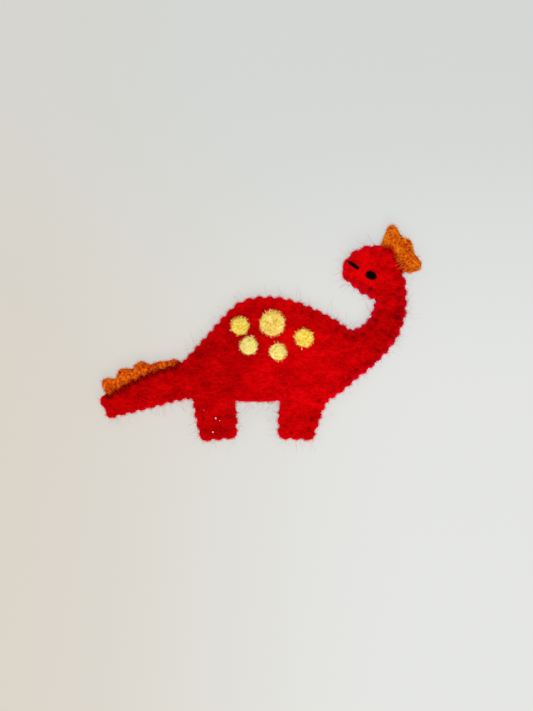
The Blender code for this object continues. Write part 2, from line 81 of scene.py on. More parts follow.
# What a stitch does to the felt. The stitches are tighter towards the head.
DIMPLE_DEPTH = 0.50 * MM
DIMPLE_RADIUS = 0.48 * MM
BED_DEPTH = 0.22 * MM
BED_WIDTH = 0.32 * MM
PUCKER_DEPTH = 0.44 * MM
PUCKER_WIDTH = 0.70 * MM
PUCKER_REACH = 3.4 * MM
PUCKER_SHARE = 0.5
STITCH_RANGE = 3.5 * PUCKER_REACH
BED_START = 0.5 * MM
NOTCH_DEPTH = 0.20 * MM
NOTCH_WIDTH = 0.50 * MM
EDGE_FUZZ = 0.15 * MM
SEAM_GAP = 0.4 * MM
SEAM_CLOSING = 0.48
TRIM_GAP = 0.24 * MM
TRIM_HOLD = 1.2 * MM
LOOSE_AT = -12 * MM
TIGHT_AT = 22 * MM
LOOSEST = 0.45
TIGHTNESS_SIZE = 1.3 * MM

# Painted shade: how dark the felt is painted where shade falls, in its dimples, at the crest's holes, along
# the frill and on the trims, and how far
DIMPLE_DARK = 0.65
DIMPLE_DARK_RADIUS = 0.58 * MM
CREST_DARK = 0.95
CREST_DARK_RADIUS = 0.6 * MM
FRILL_DARK = 0.9
FRILL_DARK_REACH = 1.15 * MM
TRIM_DARK = 0.95
TRIM_DARK_REACH = 1.15 * MM

# Where the last stitch at the tip of the tail pulls the edge in, and where the edge bulges over the crest:
# a place, how far in it goes, and how wide the change is
EDGE_PULLS = (
    ((-56.2 * MM, -28.2 * MM), 0.95 * MM, 1.10 * MM),
    ((46.2 * MM, 30.2 * MM), -0.85 * MM, 1.60 * MM),
    ((50.0 * MM, 24.4 * MM), -0.55 * MM, 2.20 * MM),
)

# Threads
THREAD_RADIUS = 0.11 * MM
THREAD_TWIST = 1.6 * MM
THREAD_STEP = 0.3 * MM
THREAD_SIDES = 6
PLY_REACH = 0.85

# Whip stitches: how far the thread runs inside and outside the edge, and how deep it lies in the felt
NEXT_STITCH = 6 * MM
AHEAD_SHARE = 0.3
WHIP_INSET = 0.3 * MM
WHIP_OUT = 0.16 * MM
WHIP_BACK_SHARE = 0.35
WHIP_END = 0.9 * MM
FACE_BED = 0.2 * MM
FACE_SKIN = 0.04 * MM
BACK_BED = 0.1 * MM
BACK_SKIN = 0.02 * MM
BACK_LEAST = 0.3 * MM

# Painted highlights: where the wool is painted lighter, as light falls on it: a place, the distances where
# that begins to fade and ends, and how much
PAINTED_LIGHT_PLACES = (
    ((12 * MM, -16 * MM, 6 * MM), 12 * MM, 38 * MM, 0.055),
    ((38 * MM, 25 * MM, 3 * MM), 7 * MM, 19 * MM, 0.065),
    ((4 * MM, 16 * MM, 6 * MM), 8 * MM, 20 * MM, 0.030),
    ((-36 * MM, -23 * MM, 3 * MM), 6 * MM, 22 * MM, 0.015),
)

# How the frill is sewn on: how far each stitch runs from the cut edge of the face, and how high it lies
FRILL_STITCH = 1.0 * MM
FRILL_STITCH_START = -0.55 * MM
FRILL_STITCH_EDGE = -0.1 * MM
FRILL_STITCH_MIDDLE = 0.35
FRILL_STITCH_REACH = 0.75 * MM
FRILL_STITCH_VARIES = 0.35 * MM
FRILL_FIRST = 0.4 * MM
FRILL_STITCH_SLANT = 0.45 * MM
FRILL_STITCH_RADIUS = 0.17 * MM
FRILL_EDGE_IN = 1.25 * MM
FRILL_EDGE_RUN = 1.5 * MM
UNDER_FACE = -0.25 * MM
IN_FACE = -0.05 * MM
OVER_FRILL = 0.45 * MM
IN_FRILL = -0.1 * MM

# Trims
TRIM_STEPS = (0.8 * OUTER_STEP, 2 * OUTER_STEP)
TRIM_LUMPS = 1.1 * MM
TRIM_FRAY = 2.2 * FRAY

# Places in millimetres: the needle's holes along the crest, the strands of the crest's wool that it drew
# over the head, each group with a start, an end and a number, and lint on the hind leg with its size
CREST_HOLES = ((49.2, 24.8), (48.5, 26.0), (46.2, 29.6), (44.8, 30.2), (50.2, 23.4), (50.4, 22.3))
CREST_STRANDS = (((49.6, 26.4), (48.3, 25.1), 3), ((51.1, 24.6), (49.3, 23.1), 4))
LINT = ((-16.2, -30.4, 0.32), (-17.3, -35.4, 0.27), (-20.5, -27.6, 0.13), (-14.8, -31.2, 0.14))
STRAND_POINTS = 7
STRAND_GAP = 0.75 * MM
STRAND_LENGTHS = (0.85, 0.5)
STRAND_DRIFT = 0.9 * MM
STRAND_BEND = 0.5 * MM
STRAND_ARCH = 0.25 * MM
STRAND_LIFT = 0.05 * MM
STRAND_RADIUS = 0.08 * MM
LINT_RISE = 0.25 * MM
LINT_GRAIN = 0.2 * MM

# Spots
SPOT_RISE = 0.75 * MM
SPOT_ROOT = 0.35 * MM
SPOT_WAVES = 0.085
SPOT_BUMPS = 0.11 * MM
SPOT_BUMP_SIZE = 1.0 * MM
SPOT_FALL = 0.35
SPOT_FILL = 0.985
SPOT_SIDES = 64

# Eye: rows of satin stitches
EYE_TILT = math.radians(-27)
EYE_HALF_LENGTH = 2.0 * MM
EYE_HALF_WIDTH = 1.35 * MM
EYE_RISE = 0.62 * MM
EYE_FALL = 0.25 * MM
EYE_ROOT = 0.12 * MM
EYE_ROWS = 8
EYE_ROW_POINTS = 9
EYE_ROW_RADIUS = 0.16 * MM
EYE_TWIST = 2.4 * MM
EYE_ROUNDNESS = 0.92
EYE_UNEVEN = 0.2

# Mouth: strands side by side, each with its place aside and the share of the length at which it starts
MOUTH_STRANDS = ((-0.30 * MM, 0.24), (0.0, 0.02), (0.30 * MM, 0.10))
MOUTH_SLANT = 0.7
MOUTH_END_LIFT = 0.6 * MM
MOUTH_RISE = 0.5 * MM
MOUTH_ROOT = 0.2 * MM
MOUTH_RADIUS = 0.23 * MM
MOUTH_TWIST = 2.0 * MM
MOUTH_POINTS = 9

# Light and camera
CAMERA_X = 1.97 * MM
CAMERA_Y = -7.91 * MM
CAMERA_HEIGHT = 430 * MM
CAMERA_LENS = 60
FLOOR_SIZE = 3.0
FLOOR_GLOW = 0.8
FLOOR_NEAR = ((0.672, 0.630, 0.562), (0.740, 0.750, 0.735))
FLOOR_FAR = ((0.655, 0.645, 0.605), (0.640, 0.660, 0.645))
WORLD_COLOUR = (1.0, 0.99, 0.97, 1)
WORLD_STRENGTH = 0.62

# Soft lamps: name, place, size and power
LAMPS = (("window", (0.10, -0.50, 0.70), 0.7, 5.6), ("fill", (-0.4, 0.4, 0.8), 0.8, 1.5))


class Value:
    """A number from a node, which sums can use like any other number."""

    def __init__(self, finish, socket):
        self.finish = finish
        self.socket = socket

    def __add__(self, other):
        return self.finish.sum("ADD", self, other)

    __radd__ = __add__

    def __mul__(self, other):
        return self.finish.sum("MULTIPLY", self, other)

    __rmul__ = __mul__

    def __sub__(self, other):
        return self.finish.sum("SUBTRACT", self, other)

    def __rsub__(self, other):
        return self.finish.sum("SUBTRACT", other, self)


class NodeTree:
    """A tree of nodes that is built one node at a time."""

    def node(self, kind, settings, values):
        """Adds any node: its settings first, and then the values or links of its sockets."""
        made = self.tree.nodes.new(kind)
        for setting, value in settings.items():
            setattr(made, setting, value)
        for socket, value in values.items():
            self.feed(made.inputs[socket], value)
        return made

    def feed(self, socket, value):
        source = value.socket if isinstance(value, Value) else value
        if isinstance(source, bpy.types.NodeSocket):
            self.tree.links.new(source, socket)
        else:
            socket.default_value = source


class Finish(NodeTree):
    """One material, whose patterns lie on the object's own coordinates."""

    def __init__(self, name, **fixed):
        self.material = bpy.data.materials.new(name)
        self.material.use_nodes = True
        self.tree = self.material.node_tree
        self.shader = self.tree.nodes["Principled BSDF"]
        for socket, value in fixed.items():
            label = socket.replace("_", " ").title().replace("Ior", "IOR")
            self.shader.inputs[label].default_value = value
        self.place = self.node("ShaderNodeTexCoord", {}, {}).outputs["Object"]

    def sum(self, operation, first, second):
        made = self.node("ShaderNodeMath", {"operation": operation}, {0: first, 1: second})
        return Value(self, made.outputs[0])

    def noise(self, size, detail=2.0, stretch=(1, 1, 1), twist=0.0):
        """A cloudy pattern whose patches are about as large as size, longer where stretch is below 1."""
        scaled = self.node("ShaderNodeVectorMath", {"operation": "MULTIPLY"}, {0: self.place, 1: stretch})
        values = {"Vector": scaled.outputs[0], "Scale": 1 / size, "Detail": detail, "Distortion": twist}
        return Value(self, self.node("ShaderNodeTexNoise", {}, values).outputs["Fac"])

    def between(self, value, low, high):
        """Turns a value into a smooth step from 0 at low to 1 at high."""
        settings = {"interpolation_type": "SMOOTHSTEP"}
        made = self.node("ShaderNodeMapRange", settings, {"Value": value, "From Min": low, "From Max": high})
        return Value(self, made.outputs["Result"])

    def attribute(self, name):
        return Value(self, self.node("ShaderNodeAttribute", {"attribute_name": name}, {}).outputs["Fac"])

    def blend(self, share, first, second):
        """Mixes two colours."""
        colours = {0: share}
        for slot, colour in ((6, first), (7, second)):
            colours[slot] = (*colour, 1) if isinstance(colour, tuple) else colour
        return self.node("ShaderNodeMix", {"data_type": "RGBA"}, colours).outputs[2]

    def paint(self, colour):
        self.feed(self.shader.inputs["Base Color"], colour)

    def emboss(self, height, depth, strength=1.0):
        values = {"Height": height, "Distance": depth, "Strength": strength}
        self.feed(self.shader.inputs["Normal"], self.node("ShaderNodeBump", {}, values).outputs["Normal"])


RED_SHADE = (0.220, 0.0004, 0.0008)
RED_BODY = (0.490, 0.0007, 0.0012)
RED_LIGHT = (0.790, 0.0010, 0.0028)
# Painted sheen at the cut edge, pinker towards the head
RED_RIM_SHEEN = (0.800, 0.0008, 0.0120)
RED_PINK_SHEEN = (0.840, 0.0008, 0.0600)
# Painted shade in the dimples, at the crest's holes and along the frill
RED_PAINTED_SHADE = (0.090, 0.0003, 0.0008)
BLOTCHES = {"size": 4.0 * MM, "detail": 2, "stretch": (0.6, 1, 0.15)}
STREAKS = {"size": 0.80 * MM, "detail": 4, "stretch": (0.45, 1, 0.15), "twist": 0.6}
FLECKS = {"size": 0.40 * MM, "detail": 3, "stretch": (0.8, 1, 0.15)}
TONE_SHARES = (0.24, 0.24, 0.22)
LOWEST_TONE = 0.147
SHADE_TO_BODY = (0.37, 0.53)
BODY_TO_LIGHT = (0.50, 0.66)
EDGE_BODY_TO_LIGHT = (0.40, 0.56)
# Where the painted edge sheen turns pinker, and how much of the free rim takes it
PINK_FROM = 18 * MM
PINK_TO = 44 * MM
PINK_RIM = (0.20, 0.85)
PINK_SHARE = 0.75
TINT_SHARE = 0.12
FELT_RELIEF = 0.5 * MM


def tone_and_painted_light(finish):
    """How light the wool is: soft blotches and streaks of fibre, and painted highlights on the pocket, chest
    and head.
    """
    blotch, streak, fleck = (finish.noise(**pattern) for pattern in (BLOTCHES, STREAKS, FLECKS))
    tone = blotch * TONE_SHARES[0] + streak * TONE_SHARES[1] + fleck * TONE_SHARES[2] + LOWEST_TONE
    for place, near, far, share in PAINTED_LIGHT_PLACES:
        apart = finish.node("ShaderNodeVectorMath", {"operation": "DISTANCE"}, {0: finish.place, 1: place})
        tone = tone + (1 - finish.between(Value(finish, apart.outputs["Value"]), near, far)) * share
    return tone


def painted_edge_sheen(finish):
    """The painted sheen of the wool at the cut edge, which is pinker on the head and the neck."""
    x = Value(finish, finish.node("ShaderNodeSeparateXYZ", {}, {0: finish.place}).outputs["X"])
    return finish.blend(finish.between(x, PINK_FROM, PINK_TO), RED_RIM_SHEEN, RED_PINK_SHEEN)


def red_felt():
    finish = Finish(
        "red_wool_felt", roughness=1.0, specular_ior_level=0.0,
        sheen_weight=0.3, sheen_roughness=0.5, sheen_tint=(1.0, 0.0, 0.02, 1),
    )
    tone = tone_and_painted_light(finish)
    colour = finish.blend(finish.between(tone, *SHADE_TO_BODY), RED_SHADE, RED_BODY)
    colour = finish.blend(finish.between(tone, *BODY_TO_LIGHT), colour, RED_LIGHT)
    # Painted sheen along the free edge
    rim = finish.between(finish.attribute("free_rim"), *PINK_RIM) * PINK_SHARE
    colour = finish.blend(rim, colour, painted_edge_sheen(finish))
    # Painted shade in the dimples, at the crest's holes and along the frill
    finish.paint(finish.blend(finish.attribute("painted_shade"), colour, RED_PAINTED_SHADE))
    finish.emboss(tone, FELT_RELIEF, 0.8)
    return finish.material


def red_wool(name, shade, body, at_edge):
    """Loose red wool, with the streaks and painted highlights of the felt and a tint for each fibre. At an
    edge it takes the painted pink sheen.
    """
    finish = Finish(
        name, roughness=1.0, specular_ior_level=0.0,
        sheen_weight=0.3, sheen_roughness=0.4, sheen_tint=(1.0, 0.0, 0.03, 1),
    )
    tone = tone_and_painted_light(finish) + finish.attribute("tint") * TINT_SHARE
    if at_edge:
        light, steps = painted_edge_sheen(finish), EDGE_BODY_TO_LIGHT
    else:
        light, steps = RED_LIGHT, BODY_TO_LIGHT
        tone = tone - TINT_SHARE / 2
    colour = finish.blend(finish.between(tone, *SHADE_TO_BODY), shade, body)
    finish.paint(finish.blend(finish.between(tone, *steps), colour, light))
    return finish.material


def loose_wool(name, shade, body, light, pattern, sheen=0.4):
    """Single fibres of wool, each with its own tint."""
    finish = Finish(
        name, roughness=1.0, specular_ior_level=0.0,
        sheen_weight=sheen, sheen_roughness=0.4, sheen_tint=(*light, 1),
    )
    tone = finish.noise(pattern, detail=3) * 0.55 + finish.attribute("tint") * 0.45
    colour = finish.blend(finish.between(tone, 0.35, 0.43), shade, body)
    finish.paint(finish.blend(finish.between(tone, 0.46, 0.57), colour, light))
    return finish.material


def speckled_felt(name, speck, body, light, patch, grain, seam=RED_PAINTED_SHADE):
    """Felt of mixed wool, with specks of a darker one, and painted shade where the mesh marks it."""
    finish = Finish(name, roughness=1.0, specular_ior_level=0.0, sheen_weight=0.3, sheen_tint=(*light, 1))
    cloud = finish.noise(patch, detail=3)
    grains = finish.noise(grain, detail=3, twist=0.6)
    tone = cloud * 0.3 + grains * 0.7
    colour = finish.blend(finish.between(tone, 0.38, 0.51), speck, body)
    colour = finish.blend(finish.between(tone, 0.51, 0.62), colour, light)
    finish.paint(finish.blend(finish.attribute("painted_shade"), colour, seam))
    finish.emboss(grains, FELT_RELIEF, 1.0)
    return finish.material


def spun_thread(name, shade, body, roughness=0.9, specular=0.0):
    finish = Finish(name, roughness=roughness, specular_ior_level=specular)
    strands = finish.noise(0.3 * MM, detail=3)
    finish.paint(finish.blend(finish.between(strands, 0.35, 0.65), shade, body))
    finish.emboss(strands, 0.1 * MM, 0.6)
    return finish.material


RED_FELT = red_felt()
RED_WOOL = red_wool("red_loose_wool", RED_SHADE, RED_BODY, False)
# The edge wool is lighter, with the painted pink sheen as its light colour
RIM_WOOL = red_wool("red_edge_wool", (0.240, 0.0008, 0.0040), (0.640, 0.0010, 0.0080), True)
WISP_WOOL = red_wool("brownish_red_wisps", (0.070, 0.012, 0.008), (0.180, 0.016, 0.010), False)
RED_THREAD = spun_thread("red_sewing_thread", RED_SHADE, RED_BODY)
# The frill's stitches: real red thread, painted dark red as shade under the face's edge
SHADED_FRILL_THREAD = spun_thread("red_thread_in_painted_shade", (0.150, 0.0010, 0.0014), (0.400, 0.0080, 0.0030))
ORANGE = ((0.340, 0.010, 0.002), (0.680, 0.105, 0.003), (0.890, 0.310, 0.010))
RUSSET = ((0.310, 0.006, 0.002), (0.640, 0.068, 0.003), (0.860, 0.220, 0.009))
GOLD = ((0.760, 0.390, 0.025), (1.000, 0.760, 0.120), (1.000, 0.980, 0.460))
LEMON = ((0.820, 0.430, 0.018), (1.000, 0.810, 0.090), (1.000, 0.980, 0.320))
PALE = ((0.860, 0.470, 0.020), (1.000, 0.980, 0.180), (1.000, 1.000, 0.600))
# Painted shade on the trims, where the face's edge overhangs them
ORANGE_PAINTED_SHADE = (0.440, 0.012, 0.004)
ORANGE_FELT = speckled_felt("orange_wool_felt", *ORANGE, 3.0 * MM, 0.85 * MM, ORANGE_PAINTED_SHADE)
ORANGE_WOOL = loose_wool("orange_loose_wool", *ORANGE, 0.65 * MM)
RUSSET_FELT = speckled_felt("russet_wool_felt", *RUSSET, 3.0 * MM, 0.85 * MM, ORANGE_PAINTED_SHADE)
RUSSET_WOOL = loose_wool("russet_loose_wool", *RUSSET, 0.65 * MM)
STRANDS = (ORANGE[1], (0.94, 0.50, 0.13), (0.99, 0.76, 0.36))
STRAND_WOOL = loose_wool("pale_orange_strands", *STRANDS, 0.8 * MM)
GOLD_FELT = speckled_felt("golden_wool_felt", *GOLD, 2.2 * MM, 0.7 * MM)
GOLD_WOOL = loose_wool("golden_loose_wool", *GOLD, 0.6 * MM)
LEMON_FELT = speckled_felt("lemon_wool_felt", *LEMON, 2.2 * MM, 0.7 * MM)
LEMON_WOOL = loose_wool("lemon_loose_wool", *LEMON, 0.6 * MM)
PALE_FELT = speckled_felt("pale_yellow_wool_felt", *PALE, 2.0 * MM, 0.7 * MM)
PALE_WOOL = loose_wool("pale_yellow_loose_wool", *PALE, 0.6 * MM, sheen=0.9)
BLACK = ((0.0010, 0.0008, 0.0008), (0.0030, 0.0020, 0.0020))
BLACK_THREAD = spun_thread("black_embroidery_thread", *BLACK, roughness=0.4, specular=0.012)
WHITE_LINT = spun_thread("white_lint", (0.7, 0.55, 0.55), (0.95, 0.9, 0.9))


def cad_copy(node):
    """A CAD node's mesh with its loose triangles joined."""
    bm = bmesh.new()
    bm.from_mesh(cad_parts[node].data)
    bmesh.ops.remove_doubles(bm, verts=bm.verts, dist=MERGE_DISTANCE)
    bm.normal_update()
    return bm


def cut_edges(node):
    """The edges of the upper side of a CAD sheet, as closed rings of corners with the longest first."""
    bm = cad_copy(node)
    others = [face for face in bm.faces if face.normal.z < UP_FACING]
    bmesh.ops.delete(bm, geom=others, context="FACES")
    after = {}
    for edge in bm.edges:
        if len(edge.link_loops) == 1:
            after[edge.link_loops[0].vert] = edge.link_loops[0].link_loop_next.vert
    rings = []
    while after:
        ring = [next(iter(after))]
        while after[ring[-1]] is not ring[0]:
            ring.append(after[ring[-1]])
        for corner in ring:
            del after[corner]
        rings.append(np.array([corner.co.xy for corner in ring]))
    bm.free()
    return sorted(rings, key=len, reverse=True)


def smooth_ring(corners, step):
    """A closed curve through a ring of corners."""
    points = []
    for index in range(len(corners)):
        before, start, end, after = (corners[(index + move) % len(corners)] for move in (-1, 0, 1, 2))
        count = max(1, round(np.linalg.norm(end - start) / step))
        share = (np.arange(count) / count)[:, None]
        bend = (2 * before - 5 * start + 4 * end - after) * share**2
        turn = (3 * start - before - 3 * end + after) * share**3
        points.append(0.5 * (2 * start + (end - before) * share + bend + turn))
    return np.concatenate(points)


def lumps(places, size, seed):
    """A smooth random height from -1 to 1 at each place."""
    return np.array([noise.noise(Vector((x / size, y / size, seed))) for x, y in places])


class Edge:
    """A closed edge, anticlockwise seen from above."""

    def __init__(self, points):
        self.points = points
        self.sides = np.roll(points, -1, axis=0) - points
        along = np.roll(points, -1, axis=0) - np.roll(points, 1, axis=0)
        along /= np.linalg.norm(along, axis=1)[:, None]
        self.outward = np.stack([along[:, 1], -along[:, 0]], axis=1)

    def frayed(self, amount, seed):
        """The same edge with a slightly uneven cut."""
        wave = lumps(self.points, FRAY_SIZES[0], seed) + lumps(self.points, FRAY_SIZES[1], seed + 9)
        return Edge(self.points + self.outward * (wave * amount)[:, None])

    def nearest(self, places):
        """For each place, the distance to the edge and the closest place on it."""
        distances, found = [], []
        for block in np.array_split(places, max(1, len(places) // 1000)):
            apart = block[:, None] - self.points
            share = np.clip((apart * self.sides).sum(axis=2) / (self.sides**2).sum(axis=1), 0, 1)
            apart -= share[:, :, None] * self.sides
            length = np.linalg.norm(apart, axis=2)
            best = length.argmin(axis=1)
            rows = np.arange(len(block))
            distances.append(length[rows, best])
            found.append(block - apart[rows, best])
        return np.concatenate(distances), np.concatenate(found)

    def inside(self, places):
        """Whether each place is inside, by counting the sides to its right."""
        ends = self.points + self.sides
        result = []
        for block in np.array_split(places, max(1, len(places) // 1000)):
            x, y = block[:, :1], block[:, 1:]
            crossed = (self.points[:, 1] > y) != (ends[:, 1] > y)
            slope = self.sides[:, 0] / np.where(self.sides[:, 1] == 0, 1, self.sides[:, 1])
            at = self.points[:, 0] + (y - self.points[:, 1]) * slope
            result.append((crossed & (at > x)).sum(axis=1) % 2 == 1)
        return np.concatenate(result)


class HeightMap:
    """The height of one side of a CAD sheet, smoothed, on an even grid of places."""

    def __init__(self, node, up):
        bm = cad_copy(node)
        tree = BVHTree.FromBMesh(bm)
        bm.free()
        low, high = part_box(node)
        self.low = np.array(low[:2]) - MAP_MARGIN
        columns, rows = np.ceil((np.array(high[:2]) + MAP_MARGIN - self.low) / MAP_STEP).astype(int) + 1
        heights = np.zeros((rows, columns))
        known = np.zeros((rows, columns))
        for row in range(rows):
            for column in range(columns):
                x, y = self.low + MAP_STEP * np.array((column, row))
                hit = tree.ray_cast(Vector((x, y, up * CAST_FROM)), Vector((0, 0, -up)))[0]
                if hit:
                    heights[row, column] = hit.z
                    known[row, column] = 1
        self.heights = self.blurred(heights) / np.maximum(self.blurred(known), 1e-6)

    @staticmethod
    def blurred(grid):
        reach = math.ceil(3 * MAP_BLUR / MAP_STEP)
        steps = np.arange(-reach, reach + 1) * MAP_STEP
        weights = np.exp(-(steps**2) / (2 * MAP_BLUR**2))
        for axis in (0, 1):
            grid = np.apply_along_axis(np.convolve, axis, grid, weights / weights.sum(), mode="same")
        return grid

    def at(self, places):
        spot = (places - self.low) / MAP_STEP
        limit = np.array(self.heights.shape)[::-1] - 2
        corner = np.clip(np.floor(spot).astype(int), 0, limit)
        across, up = np.clip(spot - corner, 0, 1).T
        column, row = corner.T
        near = self.heights[row, column] * (1 - across) + self.heights[row, column + 1] * across
        far = self.heights[row + 1, column] * (1 - across) + self.heights[row + 1, column + 1] * across
        return near * (1 - up) + far * up


def side_mesh(edge, step):
    """Triangles that fill an edge: fine rings inside the edge and an even grid within."""
    rings = [edge.points]
    for inset in EDGE_RINGS:
        ring = edge.points - edge.outward * inset
        rings.append(ring[(edge.nearest(ring)[0] > RING_CLEARANCE * inset) & edge.inside(ring)])
    low, high = edge.points.min(axis=0), edge.points.max(axis=0)
    rows = np.arange(low[1], high[1], step * math.sqrt(3) / 2)
    starts = [low[0] + (row % 2) * step / 2 for row in range(len(rows))]
    columns = [np.arange(start, high[0], step) for start in starts]
    grid = np.array([(x, y) for column, y in zip(columns, rows, strict=True) for x in column])
    grid = grid[edge.inside(grid)]
    grid = grid[edge.nearest(grid)[0] > EDGE_RINGS[-1] + 0.5 * min(step, OUTER_STEP * 2)]
    places = np.concatenate([*rings, grid])
    count = len(edge.points)
    bounds = [(index, (index + 1) % count) for index in range(count)]
    flat, _, faces, _, _, _ = delaunay_2d_cdt([Vector(place) for place in places], bounds, [], 1, 1e-9)
    return np.array([tuple(place) for place in flat]), faces


def felt_mesh(name, edge, outer, inner, side, steps, painted_shade=None):
    """A closed sheet of felt with a round edge.

    outer and inner give the heights of its two sides at places, and side is 1 where the outer one is on top.
    The last argument gives how much painted shade each place of the outer side takes, from 0 to 1, where the
    fuzz is also thinner.
    """
    bm = bmesh.new()
    fuzz = bm.verts.layers.float.new("fuzz")
    shade_layer = bm.verts.layers.float.new("painted_shade")
    rim = bm.verts.layers.float.new("rim")
    for is_outer, step in zip((True, False), steps, strict=True):
        places, faces = side_mesh(edge, step)
        away = edge.nearest(places)[0]
        upper, lower = outer(places), inner(places)
        share = np.clip(away / EDGE_ROUNDNESS, 0, 1)
        bulge = np.sqrt(1 - (1 - share) ** 2) * (1 if is_outer else -1)
        heights = (upper + lower) / 2 + bulge * (upper - lower) / 2
        # The painted shade of each place on the outer side, which also thins the fuzz
        pulled = painted_shade(places) if painted_shade and is_outer else np.zeros(len(places))
        corners = []
        for place, height, edge_distance, depth in zip(places, heights, away, pulled, strict=True):
            corner = bm.verts.new((*place, height))
            nearness = math.exp(-edge_distance / RIM_REACH)
            corner[rim] = nearness
            corner[fuzz] = (1 - SHADE_FUZZ_LOSS * depth) if is_outer else nearness
            corner[shade_layer] = depth
            corners.append(corner)
        for face in faces:
            order = face if is_outer == (side > 0) else face[::-1]
            bm.faces.new([corners[index] for index in order])
    bmesh.ops.remove_doubles(bm, verts=bm.verts, dist=5 * MERGE_DISTANCE)
    bmesh.ops.recalc_face_normals(bm, faces=bm.faces)
    mesh = bpy.data.meshes.new(name)
    bm.to_mesh(mesh)
    bm.free()
    mesh.shade_smooth()
    return mesh


def add_piece(name, mesh, material, slot, *replaced):
    """A finished piece of the puppet."""
    piece = bpy.data.objects.new(name, mesh)
    if material:
        mesh.materials.clear()
        mesh.materials.append(material)
    bpy.context.scene.collection.objects.link(piece)
    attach(piece, "root")
    if replaced:
        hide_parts(*replaced)
    return piece


class Tree(NodeTree):
    """A Geometry Nodes tree with named inputs."""

    def __init__(self, name, **inputs):
        self.tree = bpy.data.node_groups.new(name, "GeometryNodeTree")
        face = self.tree.interface
        face.new_socket("Geometry", in_out="OUTPUT", socket_type="NodeSocketGeometry")
        face.new_socket("Geometry", in_out="INPUT", socket_type="NodeSocketGeometry")
        for label, kind in inputs.items():
            face.new_socket(label, in_out="INPUT", socket_type="NodeSocket" + kind)
        self.given = self.tree.nodes.new("NodeGroupInput").outputs
        self.result = self.tree.nodes.new("NodeGroupOutput").inputs["Geometry"]

    def sum(self, operation, *values):
        values = dict(enumerate(values))
        return self.node("ShaderNodeMath", {"operation": operation}, values).outputs[0]

    def vector(self, operation, *values, result=0):
        values = dict(enumerate(values))
        return self.node("ShaderNodeVectorMath", {"operation": operation}, values).outputs[result]

    def combine(self, **values):
        return self.node("ShaderNodeCombineXYZ", {}, values).outputs[0]

    def along(self, direction, length):
        made = self.node("ShaderNodeVectorMath", {"operation": "SCALE"}, {0: direction, "Scale": length})
        return made.outputs[0]

    def random(self, low, high, seed):
        values = {2: low, 3: high, "Seed": seed}
        return self.node("FunctionNodeRandomValue", {"data_type": "FLOAT"}, values).outputs[1]

    def apply(self, name, mesh, **values):
        """Runs the tree on a mesh and gives back the plain mesh that it makes."""
        carrier = bpy.data.objects.new(name + "_carrier", mesh)
        bpy.context.scene.collection.objects.link(carrier)
        modifier = carrier.modifiers.new(self.tree.name, "NODES")
        modifier.node_group = self.tree
        for item in self.tree.interface.items_tree:
            if item.in_out == "INPUT" and item.name in values:
                modifier[item.identifier] = values[item.name]
        graph = bpy.context.evaluated_depsgraph_get()
        made = bpy.data.meshes.new_from_object(carrier.evaluated_get(graph), depsgraph=graph)
        made.name = name
        bpy.data.objects.remove(carrier)
        return made


# The shapes of the fibres: how far each leans and sways, and how much it ripples
FIBRE_SHAPES = (
    (0.10, 0.02, 0.05), (-0.22, 0.10, 0.04), (0.30, -0.20, 0.08), (0.05, 0.35, 0.10), (-0.38, -0.28, 0.06),
)
FIBRE_RIPPLES = 7.0
SHORTEST_FIBRE = 0.45


